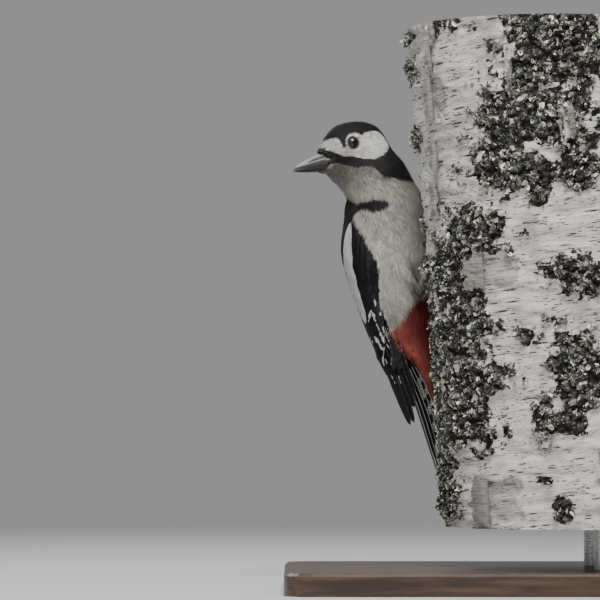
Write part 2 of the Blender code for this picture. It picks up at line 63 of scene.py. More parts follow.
# Broken, raised bark, as in the solids: (bearing in degrees, height, half width in degrees, half height)
RAISED_BARK = (
    (-88, 284, 22, 26), (-80, 248, 27, 17), (-68, 222, 20, 12), (-52, 191, 14, 12), (-33, 168, 15, 26),
    (-88, 167, 12, 10), (-34, 138, 18, 18), (-40, 113, 22, 10), (-31, 90, 18, 16), (-88, 117, 13, 18),
    (-12, 58, 14, 20), (-140, 210, 16, 34), (-168, 120, 22, 44), (120, 250, 22, 34), (140, 90, 18, 40),
    (168, 215, 12, 22), (-130, 60, 14, 20),
)
BARK_RELIEF = 1.6
BARK_SLANT = 0.12  # rise of the lenticels' rows across the leaning trunk
BIRD_HOLD = (37, 140, 34, 95)  # the same four values for the smooth bark that the bird holds

# Flesh: what one skin replaces, and how deep the coat is over it
FLESH = ("head", "neck", "breast", "belly", "rump", "undertail", "thigh_left", "thigh_right")
BODY_COAT, HEAD_COAT = 1.3, 0.75

# Colours, linear
BLACK = np.array([0.0072, 0.0074, 0.0090])
WING_BLACK = np.array([0.0038, 0.0039, 0.0050])
RUMP_BLACK = 1.4 * WING_BLACK
PRIMARY_BLACK = np.array([0.0066, 0.0063, 0.0068])
SOFT_BLACK = np.array([0.013, 0.012, 0.0125])
WHITE = np.array([0.64, 0.626, 0.594])
BUFF = np.array([0.46, 0.435, 0.39])
# Throat: the buff darkened with painted shade, as it lies under the head
SHADED_THROAT = np.array([0.175, 0.163, 0.145])
# Vent: its red darkened with painted shade for the side towards the trunk, then its own brighter red
SHADED_CRIMSON = np.array([0.125, 0.016, 0.013])
ROSE = np.array([0.33, 0.072, 0.056])


def unit(v):
    """Vectors along the last axis, scaled to length 1."""
    v = np.asarray(v, float)
    return v / np.maximum(np.linalg.norm(v, axis=-1, keepdims=True), 1e-9)


ALONG = unit(BODY_MIDDLE - AXIS_FOOT)
BACK_LEVEL = np.array([-math.cos(BACK_BEARING), math.sin(BACK_BEARING), 0.0])
DORSAL = unit(BACK_LEVEL - ALONG * (ALONG @ BACK_LEVEL))
RIGHT = np.cross(ALONG, DORSAL)
FORWARD = np.array([
    -math.cos(HEAD_TURN) * math.cos(HEAD_PITCH),
    -math.sin(HEAD_TURN) * math.cos(HEAD_PITCH),
    -math.sin(HEAD_PITCH),
])
LEFT = np.array([math.sin(HEAD_TURN), -math.cos(HEAD_TURN), 0.0])
UP = np.cross(FORWARD, LEFT)
BODY_AXES = np.array([ALONG, DORSAL, RIGHT])
HEAD_AXES = np.array([FORWARD, LEFT, UP])
# The sides of each frame, with their words
BODY_SIDES = ((1, "right"), (-1, "left"))
HEAD_SIDES = ((1, "left"), (-1, "right"))


def in_body(*coordinates):
    """Millimetre points from (along, dorsal, right), single or as rows."""
    return BODY_MIDDLE + np.stack(np.broadcast_arrays(*coordinates), -1) @ BODY_AXES


def in_head(*coordinates):
    """Millimetre points from (forward, left, up), single or as rows."""
    return HEAD_MIDDLE + np.stack(np.broadcast_arrays(*coordinates), -1) @ HEAD_AXES


def body_coordinates(points):
    """Along, dorsal and right of millimetre points."""
    return np.moveaxis((points - BODY_MIDDLE) @ BODY_AXES.T, -1, 0)


def head_coordinates(points):
    """Forward, left and up of millimetre points."""
    return np.moveaxis((points - HEAD_MIDDLE) @ HEAD_AXES.T, -1, 0)


def step(low, high, value):
    """Smooth step from 0 at low to 1 at high."""
    t = np.clip((np.asarray(value, float) - low) / (high - low), 0, 1)
    return t * t * (3 - 2 * t)


def mix(a, b, t):
    """From a where t is 0 to b where it is 1."""
    return a + (b - a) * t


def bend_through(start, middle, end):
    """The bend that makes a curve pass through middle halfway."""
    return 2 * middle - (start + end) / 2


def curve(start, bend, end, t):
    """Points of a quadratic curve from start, towards bend, to end."""
    return start * (1 - t) ** 2 + bend * 2 * t * (1 - t) + end * t ** 2


def wander(points, size, seed=0.0, octaves=1):
    """Smooth noise, about -1 to 1, whose lumps are size millimetres; size may be one number or three."""
    places = points / np.asarray(size, float) + seed
    if octaves == 1:
        return np.array([noise.noise(Vector(p)) for p in places])
    return np.array([noise.fractal(Vector(p), 0.6, 2.1, octaves) for p in places])


def inside_distance(x, y, outline):
    """Signed distance from points to a closed outline, positive inside."""
    corners = np.array(outline, float)
    ends = np.roll(corners, -1, axis=0)
    nearest = np.full(np.shape(x), 1e9)
    inside = np.zeros(np.shape(x), bool)
    for (x0, y0), (x1, y1) in zip(corners, ends):
        dx, dy = x1 - x0, y1 - y0
        t = np.clip(((x - x0) * dx + (y - y0) * dy) / (dx * dx + dy * dy), 0, 1)
        nearest = np.minimum(nearest, np.hypot(x - x0 - t * dx, y - y0 - t * dy))
        crosses = (y0 > y) != (y1 > y)
        inside ^= crosses & (x < x0 + (y - y0) * dx / (dy if dy else 1e-9))
    return np.where(inside, nearest, -nearest)


# Meshes

def link(name, data):
    """A new object in the scene."""
    obj = bpy.data.objects.new(name, data)
    bpy.context.scene.collection.objects.link(obj)
    return obj


def build(name, points, faces, material=None, tint=None, extra=None, maps=None, normals=None):
    """An object from millimetre points and a list of face arrays, whose rows are corners.

    Each point may have a tint, a number for each name in extra, a place in each UV map of maps, and a normal.
    """
    faces = [np.asarray(f, np.int32) for f in faces]
    corners = np.concatenate([f.ravel() for f in faces])
    sizes = np.concatenate([np.full(len(f), f.shape[1], np.int32) for f in faces])
    mesh = bpy.data.meshes.new(name)
    mesh.vertices.add(len(points))
    mesh.vertices.foreach_set("co", (np.asarray(points) * MM).astype(np.float32).ravel())
    mesh.loops.add(len(corners))
    mesh.loops.foreach_set("vertex_index", corners)
    mesh.polygons.add(len(sizes))
    mesh.polygons.foreach_set("loop_start", np.concatenate([[0], np.cumsum(sizes)[:-1]]).astype(np.int32))
    mesh.polygons.foreach_set("use_smooth", np.full(len(sizes), True))
    mesh.update(calc_edges=True)
    if tint is not None:
        layer = mesh.attributes.new("Tint", "FLOAT_COLOR", "POINT")
        colours = np.ones((len(points), 4), np.float32)
        colours[:, :3] = tint
        layer.data.foreach_set("color", colours.ravel())
    for key, values in (extra or {}).items():
        layer = mesh.attributes.new(key, "FLOAT", "POINT")
        layer.data.foreach_set("value", np.asarray(values, np.float32).ravel())
    for key, places in (maps or {}).items():
        layer = mesh.uv_layers.new(name=key)
        layer.data.foreach_set("uv", np.asarray(places, np.float32)[corners].ravel())
    if normals is not None:
        mesh.normals_split_custom_set_from_vertices(unit(normals).astype(np.float32))
    if material:
        mesh.materials.append(material)
    return link(name, mesh)


def finish(obj, slot, *nodes):
    """Every piece rides on the one body and stands for its CAD nodes, which it hides; slot is not used."""
    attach(obj, "root")
    if nodes:
        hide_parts(*nodes)
    return obj


def grid_faces(rows, columns, closed=False, start=0):
    """Quads of a grid of points stored row by row; closed joins the last column to the first."""
    r, c = np.meshgrid(np.arange(rows - 1), np.arange(columns if closed else columns - 1), indexing="ij")
    after = (c + 1) % columns
    low, high = r * columns, (r + 1) * columns
    return np.stack([low + c, low + after, high + after, high + c], -1).reshape(-1, 4) + start


def tube_faces(rows, columns, start=0):
    """Faces of a closed tube: its rings of points joined, and a cap over each end."""
    ring = np.arange(columns)[None] + start
    return [grid_faces(rows, columns, closed=True, start=start), ring[:, ::-1], ring + (rows - 1) * columns]


def sheet_faces(rows, columns, start=0):
    """Faces of a closed thin sheet: its upper grid, the lower grid stored right after it, and the rim."""
    size = rows * columns
    upper = grid_faces(rows, columns, start=start)
    rim = np.concatenate([
        np.arange(columns),
        np.arange(1, rows) * columns + columns - 1,
        (rows - 1) * columns + np.arange(columns - 2, -1, -1),
        np.arange(rows - 2, 0, -1) * columns,
    ]) + start
    after = np.roll(rim, -1)
    return [upper, upper[:, ::-1] + size, np.stack([after, rim, rim + size, after + size], -1)]


def fan_faces(columns, start, middle):
    """Triangles from the ring of points that begins at start to the point middle."""
    ring = np.arange(columns) + start
    return np.stack([ring, np.roll(ring, -1), np.full(columns, middle)], -1)


def flipped(faces, flip):
    """The faces, with their corners the other way round if flip says so."""
    return [corners[:, ::-1] for corners in faces] if flip else faces


def mesh_arrays(mesh):
    """A mesh's points in metres, and its triangles."""
    mesh.calc_loop_triangles()
    places = np.empty(len(mesh.vertices) * 3, np.float32)
    mesh.vertices.foreach_get("co", places)
    corners = np.empty(len(mesh.loop_triangles) * 3, np.int32)
    mesh.loop_triangles.foreach_get("vertices", corners)
    return places.reshape(-1, 3), corners.reshape(-1, 3)


def node_arrays(names):
    """Points in millimetres and triangles of CAD nodes joined."""
    points, triangles, count = [], [], 0
    for name in names:
        places, corners = mesh_arrays(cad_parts[name].data)
        points.append(places / MM)
        triangles.append(corners + count)
        count += len(places)
    return np.vstack(points).astype(float), np.vstack(triangles)


class Surface:
    """A triangle mesh that can be asked for its nearest point, and hit by a ray."""

    def __init__(self, points, triangles):
        self.points, self.triangles = points, triangles
        self.tree = BVHTree.FromPolygons(points.tolist(), triangles.tolist())
        self.normals = vertex_normals(points, triangles)

    def nearest(self, places):
        """Nearest points on the surface and smooth normals there."""
        spots = np.empty((len(places), 3))
        faces = np.empty(len(places), int)
        for i, place in enumerate(places):
            spot, _, face, _ = self.tree.find_nearest(Vector(place))
            spots[i], faces[i] = spot, face
        return spots, self.smooth_normal(spots, faces)

    def smooth_normal(self, spots, faces):
        """Normals at spots on faces, blended from the faces' corners."""
        a, b, c = (self.points[self.triangles[faces, k]] for k in range(3))
        whole = np.linalg.norm(np.cross(b - a, c - a), axis=1) + 1e-12
        wa = np.linalg.norm(np.cross(b - spots, c - spots), axis=1) / whole
        wb = np.linalg.norm(np.cross(a - spots, c - spots), axis=1) / whole
        na, nb, nc = (self.normals[self.triangles[faces, k]] for k in range(3))
        return unit(na * wa[:, None] + nb * wb[:, None] + nc * (1 - wa - wb)[:, None])


def vertex_normals(points, triangles):
    """Normals of points, from the triangles round them in proportion to their areas."""
    a, b, c = (points[triangles[:, k]] for k in range(3))
    face = np.cross(b - a, c - a)
    total = np.zeros_like(points)
    for k in range(3):
        np.add.at(total, triangles[:, k], face)
    return unit(total)


# Materials

class Shader:
    """A Principled material whose nodes are added by short calls."""

    def __init__(self, name, colour=(0.5, 0.5, 0.5), roughness=0.5, **constants):
        self.material = bpy.data.materials.new(name)
        self.material.use_nodes = True
        self.tree = self.material.node_tree
        self.bsdf = self.tree.nodes["Principled BSDF"]
        self.set("Base Color", (*colour, 1))
        self.set("Roughness", roughness)
        for key, value in constants.items():
            self.set(key.replace("_", " "), value)

    def set(self, key, value):
        self.bsdf.inputs[key].default_value = value

    def node(self, kind, links=None, **settings):
        """Adds a node; links are its inputs, as plain values or as outputs of other nodes."""
        made = self.tree.nodes.new("ShaderNode" + kind)
        for key, value in settings.items():
            setattr(made, key, value)
        for key, value in (links or {}).items():
            self.feed(made.inputs[key], value)
        return made

    def feed(self, socket, value):
        if isinstance(value, bpy.types.NodeSocket):
            self.tree.links.new(value, socket)
        else:
            socket.default_value = value

    def attribute(self, name, kind="Fac"):
        return self.node("Attribute", attribute_name=name).outputs[kind]

    def scaled(self, place, scale):
        return self.node("Mapping", {"Vector": place, "Scale": scale}).outputs["Vector"]

    def place(self, scale=(1, 1, 1), layer=None):
        """Coordinates in the object, or in a UV layer, times a scale for each axis."""
        if layer:
            source = self.node("UVMap", uv_map=layer).outputs["UV"]
        else:
            source = self.node("TexCoord").outputs["Object"]
        return self.scaled(source, scale)

    def noise(self, place, scale, detail=3.0, rough=0.55):
        links = {"Vector": place, "Scale": scale, "Detail": detail, "Roughness": rough}
        return self.node("TexNoise", links).outputs["Fac"]

    def spots(self, place, scale):
        """Distance from the nearest of many scattered spots."""
        return self.node("TexVoronoi", {"Vector": place, "Scale": scale}).outputs["Distance"]

    def math(self, operation, a, b=0.5):
        return self.node("Math", {0: a, 1: b}, operation=operation).outputs[0]

    def ramp(self, value, low, high, start=0.0, end=1.0):
        """Smooth change from start where value is low to end where it is high."""
        links = {"Value": value, "From Min": low, "From Max": high, "To Min": start, "To Max": end}
        return self.node("MapRange", links, interpolation_type="SMOOTHSTEP").outputs["Result"]

    def blend(self, a, b, amount, mode="MIX"):
        """Colour a mixed with b; the node's colour sockets share names with others, so go by number."""
        made = self.node("Mix", data_type="RGBA", blend_type=mode)
        for index, value in ((0, amount), (6, a), (7, b)):
            self.feed(made.inputs[index], (*value, 1) if isinstance(value, tuple) else value)
        return made.outputs[2]

    def toned(self, tone):
        """The tint that the points carry, times a tone."""
        return self.blend(self.attribute("Tint", "Color"), tone, 1.0, "MULTIPLY")

    def colour(self, value):
        self.feed(self.bsdf.inputs["Base Color"], value)

    def rough(self, value):
        self.feed(self.bsdf.inputs["Roughness"], value)

    def bump(self, height, distance, strength=1.0):
        """Relief whose full height is a distance in millimetres."""
        made = self.node("Bump", {"Height": height, "Distance": distance * MM, "Strength": strength})
        self.feed(self.bsdf.inputs["Normal"], made.outputs["Normal"])


def plumage_shader():
    """Contour feathers: the tint each lock carries, with fine streaks of tone."""
    made = Shader("plumage", roughness=0.66, Specular_IOR_Level=0.28)
    made.colour(made.toned(made.ramp(made.noise(made.place(), 700.0), 0.3, 0.7, 0.93, 1.05)))
    return made.material


def skin_shader():
    """Down under the coat, in the coat's markings."""
    made = Shader("down", roughness=0.85)
    fluff = made.noise(made.place(), 1600.0, 4.0)
    made.colour(made.toned(made.ramp(fluff, 0.3, 0.7, 0.6, 1.0)))
    made.bump(fluff, 0.4)
    return made.material


def vane_shader():
    """Wing and tail feathers: barbs in relief either side of the shaft, and marks with ragged edges."""
    made = Shader("vane", roughness=0.50, Specular_IOR_Level=0.17)
    parts = made.node("SeparateXYZ", {0: made.place(layer="Vane")})
    slant = made.math("MULTIPLY", made.math("ABSOLUTE", parts.outputs["X"]), 0.9)
    run = made.math("SUBTRACT", parts.outputs["Y"], slant)
    barb = made.node("CombineXYZ", {0: made.math("MULTIPLY", run, 2.4), 1: 0.0}).outputs[0]
    rough = made.noise(barb, 1.0, 3.0, 0.7)
    barbs = made.math("SINE", made.math("MULTIPLY", run, 15.0), 0.0)
    ragged = made.math("MULTIPLY", made.math("SUBTRACT", rough, 0.5), 1.3)
    mark = made.ramp(made.math("ADD", made.attribute("Mark"), ragged), -0.10, 0.14)
    dark = made.toned(made.ramp(made.noise(made.place(), 260.0), 0.3, 0.7, 0.75, 1.25))
    pale = made.blend((0.50, 0.488, 0.46), (0.35, 0.34, 0.315), made.ramp(rough, 0.42, 0.72))
    made.colour(made.blend(dark, pale, mark))
    made.bump(barbs, 0.05, 0.6)
    return made.material


def bill_shader():
    """Slate horn streaked lengthwise, with painted light on ridges and top, painted shade on the gape, wear
    at the tip.
    """
    made = Shader("bill_horn", roughness=0.36, Specular_IOR_Level=0.5)
    along = made.place((0.12, 1.6, 1), "Along")
    streaks = made.noise(along, 9.0, 5.0, 0.65)
    wear_light_and_shade = made.ramp(made.attribute("Mark"), 0.0, 1.0)
    base = made.blend((0.022, 0.022, 0.024), (0.085, 0.085, 0.086), made.ramp(streaks, 0.35, 0.7))
    pale = made.blend((0.42, 0.41, 0.395), (0.20, 0.195, 0.188), made.ramp(streaks, 0.38, 0.66))
    # painted shade over the gape, where the Mark is below 0
    base = made.blend((0.006, 0.006, 0.007), base, made.ramp(made.attribute("Mark"), -1.0, 0.0))
    made.colour(made.blend(base, pale, wear_light_and_shade))
    made.rough(made.ramp(streaks, 0.3, 0.7, 0.26, 0.46))
    made.bump(streaks, 0.12, 0.5)
    return made.material


def eye_shader():
    """Dark red-brown iris round a black pupil, under a wet clear coat."""
    made = Shader("eye_ball", roughness=0.16, Coat_Weight=1.0, Coat_Roughness=0.015, Coat_IOR=1.34,
                  Specular_IOR_Level=0.3)
    ring = made.attribute("Ring")
    fibres = made.noise(made.place((1.0, 0.08, 1.0), "Along"), 34.0, 3.0)
    iris = made.blend((0.020, 0.010, 0.008), (0.045, 0.021, 0.016), made.ramp(fibres, 0.3, 0.7))
    iris = made.blend((0.016, 0.008, 0.006), iris, made.ramp(ring, 20.0, 32.0))
    pupil = made.ramp(ring, 18.5, 21.0)
    inner = made.blend((0.002, 0.002, 0.002), iris, pupil)
    made.colour(made.blend(inner, (0.006, 0.004, 0.004), made.ramp(ring, 37.0, 43.0)))
    return made.material


def lid_shader():
    """Dark bare skin round the eye, beaded with grains."""
    made = Shader("eyelid", roughness=0.5)
    grain = made.spots(made.place(), 3200.0)
    made.colour(made.blend((0.018, 0.017, 0.018), (0.060, 0.056, 0.055), made.ramp(grain, 0.2, 0.7)))
    made.bump(grain, 0.08)
    return made.material


def scale_shader():
    """Scaled skin of the legs, dusty in the joints between scutes."""
    made = Shader("leg_scales", roughness=0.55)
    cells = made.spots(made.place(), 1500.0)
    base = made.blend((0.075, 0.073, 0.070), (0.19, 0.185, 0.175), made.ramp(cells, 0.1, 0.65))
    made.colour(made.blend((0.035, 0.032, 0.03), base, made.ramp(made.attribute("Mark"), 0.0, 0.6)))
    made.bump(cells, 0.10, 0.7)
    return made.material


def claw_shader():
    """Dark horn, streaked paler."""
    made = Shader("claw_horn", roughness=0.28)
    streaks = made.noise(made.place((1, 1, 0.2)), 1900.0)
    made.colour(made.blend((0.022, 0.020, 0.019), (0.10, 0.092, 0.08), made.ramp(streaks, 0.45, 0.75)))
    made.bump(streaks, 0.06)
    return made.material


# Lenticels in four sizes: (scale across, scale up, shortest and longest reach in a cell, share left bare)
LENTICELS = (
    (0.042, 0.34, 0.13, 0.25, 0.41),
    (0.090, 0.60, 0.15, 0.27, 0.44),
    (0.24, 1.15, 0.18, 0.36, 0.49),
    (0.55, 1.60, 0.20, 0.38, 0.55),
)


def lenticels(made, level, grit):
    """1 on the dark dashes of birch bark, in level rows that come and go, and 0 between them."""
    marks = 0.0
    for across, up, low, high, bare in LENTICELS:
        dash = made.ramp(made.spots(made.scaled(level, (across, up, 1)), 1.0), low, high, 1.0, 0.0)
        rows = made.noise(made.scaled(level, (0.3, 1.4, 1)), 0.10 + across * 0.3, 2.0)
        dash = made.math("MULTIPLY", dash, made.ramp(rows, bare, bare + 0.07))
        marks = made.math("MAXIMUM", marks, made.math("MULTIPLY", dash, made.ramp(grit, 0.36, 0.50)))
    return marks


def bark_paper(made, level, streak, marks):
    """White outer bark with streaks, stains, flecks and lenticels, and duller where a sheet has come off."""
    stain = made.noise(level, 0.045, 3.0)
    flecks = made.ramp(made.noise(level, 2.2, 3.0, 0.6), 0.60, 0.72)
    flecks = made.math("MULTIPLY", flecks, made.ramp(stain, 0.40, 0.62, 0.1, 0.8))
    paper = made.blend((0.67, 0.65, 0.61), (0.36, 0.34, 0.31), made.ramp(streak, 0.42, 0.74))
    paper = made.blend(paper, (0.30, 0.285, 0.26), made.ramp(stain, 0.48, 0.72, 0.0, 0.7))
    paper = made.blend(paper, (0.15, 0.135, 0.12), flecks)
    paper = made.blend(paper, (0.032, 0.027, 0.023), marks)
    inner = made.blend((0.36, 0.345, 0.32), (0.20, 0.188, 0.17), made.ramp(streak, 0.40, 0.70))
    return made.blend(paper, inner, made.ramp(made.attribute("Bare"), 0.2, 0.8, 0.0, 0.65))


def bark_crust(made, grit):
    """Broken bark: dark crust, near black in its cracks with painted shade, grey-green on top of its plates.
    """
    height = made.attribute("Height")
    crust = made.blend((0.016, 0.013, 0.011), (0.14, 0.13, 0.115), made.ramp(grit, 0.36, 0.70))
    # painted shade, near black, down in the cracks between the plates
    crust = made.blend((0.010, 0.008, 0.007), crust, made.ramp(height, 0.05, 0.50))
    return made.blend(crust, (0.31, 0.31, 0.275), made.ramp(height, 0.55, 1.0, 0.0, 0.75))


def bark_shader():
    """Papery white birch bark, and dark gritty crust where it is broken."""
    made = Shader("birch_bark", roughness=0.78, Specular_IOR_Level=0.25)
    rolled = made.place(layer="Bark")
    parts = made.node("SeparateXYZ", {0: rolled})
    sideways = made.node("SeparateXYZ", {0: made.place((1 / MM, 1 / MM, 1 / MM))}).outputs["X"]
    rise = made.math("SUBTRACT", parts.outputs["Y"], made.math("MULTIPLY", sideways, BARK_SLANT))
    level = made.node("CombineXYZ", {0: parts.outputs["X"], 1: rise}).outputs[0]
    grit = made.noise(rolled, 1.1, 5.0, 0.7)
    streak = made.noise(made.scaled(level, (0.10, 1.1, 1)), 1.0, 5.0, 0.6)
    marks = lenticels(made, level, grit)
    edge = made.math("ADD", made.attribute("Broken"), made.math("SUBTRACT", grit, 0.5))
    edge = made.ramp(edge, 0.40, 0.54)
    made.colour(made.blend(bark_paper(made, level, streak, marks), bark_crust(made, grit), edge))
    relief = made.math("SUBTRACT", made.math("MULTIPLY", streak, 0.5), made.math("MULTIPLY", marks, 0.7))
    made.bump(made.math("ADD", relief, made.math("MULTIPLY", grit, edge)), 0.6, 0.9)
    return made.material


def peel_shader():
    """Loose bark: white outside, and a duller buff on the side that lay against the trunk."""
    made = Shader("bark_peel", roughness=0.7)
    streak = made.noise(made.place((0.16, 1.1, 1), "Bark"), 1.0, 4.0)
    outer = made.blend((0.60, 0.585, 0.55), (0.33, 0.315, 0.29), made.ramp(streak, 0.42, 0.72))
    inner = made.blend((0.28, 0.263, 0.24), (0.14, 0.128, 0.113), made.ramp(streak, 0.38, 0.68))
    made.colour(made.blend(outer, inner, made.attribute("Mark")))
    made.bump(streak, 0.2)
    return made.material


def lichen_shader():
    """Dry, matt lichen in the tint that each flake carries."""
    made = Shader("lichen", roughness=0.9, Specular_IOR_Level=0.2)
    grain = made.noise(made.place(), 1400.0, 4.0)
    made.colour(made.toned(made.ramp(grain, 0.3, 0.7, 0.62, 1.15)))
    made.bump(grain, 0.25)
    return made.material


def end_grain_shader():
    """Sawn birch: growth rings about the pith, stained at the heart and dark under the bark."""
    made = Shader("end_grain", roughness=0.7)
    place = made.place(layer="Bark")
    parts = made.node("SeparateXYZ", {0: place})
    out = made.math("SQRT", made.math("ADD", made.math("POWER", parts.outputs["X"], 2.0),
                                      made.math("POWER", parts.outputs["Y"], 2.0)), 0.0)
    wobble = made.math("MULTIPLY", made.noise(place, 0.05, 2.0), 6.0)
    rings = made.math("SINE", made.math("MULTIPLY", made.math("ADD", out, wobble), 1.7), 0.0)
    wood = made.blend((0.40, 0.285, 0.175), (0.24, 0.15, 0.08), made.ramp(rings, -0.2, 1.0))
    fibre = made.noise(place, 1.2, 5.0)
    wood = made.blend(wood, (0.14, 0.085, 0.045), made.ramp(fibre, 0.50, 0.80, 0.0, 0.7))
    heart = made.ramp(made.math("ADD", out, made.math("MULTIPLY", wobble, 2.5)), 4.0, 26.0, 0.7, 0.0)
    wood = made.blend(wood, (0.15, 0.085, 0.045), heart)
    made.colour(made.blend(wood, (0.10, 0.06, 0.04), made.ramp(out, 66.0, 71.0)))
    made.bump(fibre, 0.25)
    return made.material


def stand_wood_shader():
    """Dark walnut with its grain along X, under a satin varnish."""
    made = Shader("dark_walnut", roughness=0.38, Coat_Weight=0.25, Coat_Roughness=0.25)
    grain = made.noise(made.place((2.2, 26.0, 26.0)), 9.0, 6.0, 0.65)
    broad = made.noise(made.place((1.0, 9.0, 9.0)), 5.0, 2.0)
    wood = made.blend((0.030, 0.017, 0.010), (0.105, 0.058, 0.032), made.ramp(grain, 0.35, 0.70))
    made.colour(made.blend(wood, (0.045, 0.025, 0.015), made.ramp(broad, 0.5, 0.75, 0.0, 0.6)))
    made.rough(made.ramp(grain, 0.3, 0.7, 0.30, 0.46))
    made.bump(grain, 0.08, 0.5)
    return made.material


def stand_steel_shader():
    """Brushed steel, turned round the rod."""
    made = Shader("brushed_steel", (0.50, 0.50, 0.51), 0.3, Metallic=1.0)
    brushed = made.noise(made.place((60.0, 60.0, 2400.0)), 1.0, 3.0)
    made.rough(made.ramp(brushed, 0.3, 0.7, 0.22, 0.42))
    made.colour(made.blend((0.44, 0.44, 0.45), (0.58, 0.58, 0.58), made.ramp(brushed, 0.3, 0.7)))
    made.bump(brushed, 0.02, 0.4)
    return made.material


# Markings, shared by the skin and its coat

# Side views of the head, (forward, up)
CHEEK = ((5.1, 7.1), (1.6, 8.1), (-2.4, 8.4), (-6.2, 7.8), (-9.5, 6.0), (-11.7, 3.5), (-12.8, 0.1),
         (-9.9, -2.2), (-5.7, -4.1), (-2.2, -5.2), (1.7, -6.1), (4.6, -6.4), (7.0, -6.1), (8.9, -5.4),
         (10.6, -4.2), (13.8, -2.8), (18.2, -1.6), (18.6, 0.5), (17.4, 2.2), (14.9, 3.6), (10.8, 8.9))
FOREHEAD = ((31.0, 6.0), (26.0, 6.6), (24.0, 7.4), (22.2, 8.2), (20.4, 8.8), (18.0, 8.5), (17.2, 7.4),
            (17.1, 5.2), (16.9, 2.5), (17.6, -1.6), (21.4, 0.9), (23.2, 2.5), (25.0, 3.0), (31.0, 2.8))
EYE_RINGS = ((10.1, 4.5, 4.75), (8.4, 5.2, 4.2))  # forward, up and radius of the white round the eye
# Lower edge of the black from the gape to the side of the neck, and on round behind
DARK_HEAD = ((34.0, -3.2), (24.8, -4.0), (21.1, -4.8), (17.6, -7.0), (15.6, -8.1), (13.9, -9.4),
             (10.6, -9.5), (8.6, -9.8), (6.9, -11.4), (5.9, -12.5), (5.6, -15.8), (4.9, -17.6),
             (-0.7, -19.2), (-3.1, -21.2), (-8.6, -22.9), (-13.7, -23.8), (-40.0, -31.0), (-40.0, 40.0),
             (34.0, 40.0))
DARK_FAR_SIDE = DARK_HEAD[:11] + ((5.2, -60.0), (-40.0, -60.0), (-40.0, 40.0), (34.0, 40.0))
# Side views of the body, (along, dorsal)
DARK_BACK = ((70.0, 7.0), (45.0, 5.0), (39.0, 1.1), (36.1, -2.5), (34.2, -6.1), (33.7, -9.8), (32.7, -12.7),
             (31.1, -18.0), (29.4, -21.0), (27.5, -21.3), (25.6, -19.4), (24.8, -16.1), (25.6, -12.3),
             (28.0, -9.2), (30.8, -4.9), (31.0, -0.5), (28.0, 1.2), (16.0, -2.0), (-1.4, -2.0), (-14.6, 2.5),
             (-37.8, 4.5), (-56.0, 2.0), (-75.0, 5.0), (-75.0, 60.0), (70.0, 60.0))
RED_VENT = ((-26.0, -40.0), (-24.5, -19.0), (-28.0, -14.2), (-32.5, -9.4), (-37.5, -3.7),
            (-39.5, 4.0), (-120.0, 20.0), (-120.0, -40.0))
NECK_BORDER = 40.0  # along: above it the head's outlines hold, below it the body's


def near(x, y, outline, soft):
    """1 inside an outline, 0 outside, with a soft edge."""
    return step(-soft, soft, inside_distance(x, y, outline))


def pale_tint(s, d, u, on_head, soft):
    """The underparts: buff, with painted shade under the head, down the belly and by the thigh, and a red
    vent.
    """
    pale = mix(BUFF, SHADED_THROAT, step(-26.0, -9.0, u) * on_head)
    # painted shade darkening down the belly; the breast a little darker towards the neck
    pale = pale * mix(1.0, 0.66, step(-14.0, -40.0, s)) * mix(1.0, 0.88, step(0.0, 18.0, s))
    # painted shade by the thigh, where the belly turns in towards the trunk
    pale = pale * mix(1.0, 0.5, step(-16.5, -20.5, d) * step(-2.0, -12.0, s))
    # the vent's red, with painted shade on its side towards the trunk
    vent = mix(SHADED_CRIMSON, ROSE, step(-10.5, 1.0, d))
    return mix(pale, vent, near(s, d, RED_VENT, 4.0 * soft) * (1 - on_head))


def head_white(f, u, soft):
    """1 on the white of cheek, forehead and round the eye, 0 off it."""
    white = np.maximum(near(f, u, CHEEK, soft), near(f, u, FOREHEAD, soft))
    for forward, up, radius in EYE_RINGS:
        white = np.maximum(white, step(radius + soft, radius - soft, np.hypot(f - forward, u - up)))
    return white * (u > -9)


def plumage_tint(points, soft):
    """The coat's colour at millimetre points; soft is how far, in millimetres, its edges fade."""
    f, l, u = head_coordinates(points)[..., None]
    s, d, _ = body_coordinates(points)[..., None]
    on_head = step(NECK_BORDER - 1.5, NECK_BORDER + 1.5, s)
    dark_head = np.where(l > -2.0, near(f, u, DARK_HEAD, soft), near(f, u, DARK_FAR_SIDE, soft))
    dark = mix(near(s, d, DARK_BACK, soft), dark_head, on_head)
    black = mix(SOFT_BLACK, BLACK, step(0.0, 8.0, u))
    black = mix(black, RUMP_BLACK, step(0.0, -24.0, s))
    colour = mix(pale_tint(s, d, u, on_head, soft), black, dark)
    # the white a little darker towards the forehead, and darker low on the cheek with painted shade
    forehead_tone_and_cheek_shade = mix(1.0, 0.80, step(2.0, 17.0, f)) * mix(1.0, 0.88, step(2.0, -5.0, u))
    return mix(colour, WHITE * forehead_tone_and_cheek_shade, head_white(f, u, soft))


# Skin

# Middle and radii, in the head, of what fills the bill's root under the skin
BILL_SOCKET = ((18.5, 0.0, -2.0), (7.0, 5.6, 7.4))
GROWTH = 0.8  # how far the flesh is swelled, to close its seams, before it is drawn in


def plug(centre, radii, rows=9, sides=16):
    """Closed ellipsoid in the head's frame."""
    turns = np.linspace(0, 2 * math.pi, sides, endpoint=False)
    turns, rises = np.meshgrid(turns, np.linspace(-1.45, 1.45, rows))
    shell = np.stack([np.cos(rises) * np.cos(turns), np.cos(rises) * np.sin(turns), np.sin(rises)], -1)
    shell = np.vstack([shell.reshape(-1, 3), [[0, 0, -1], [0, 0, 1]]])
    quads = grid_faces(rows, sides, closed=True)
    low = fan_faces(sides, 0, rows * sides)
    high = fan_faces(sides, (rows - 1) * sides, rows * sides + 1)
    triangles = np.vstack([quads[:, [0, 1, 2]], quads[:, [0, 2, 3]], low[:, ::-1], high])
    return in_head(*np.moveaxis(np.array(centre) + shell * radii, -1, 0)), triangles


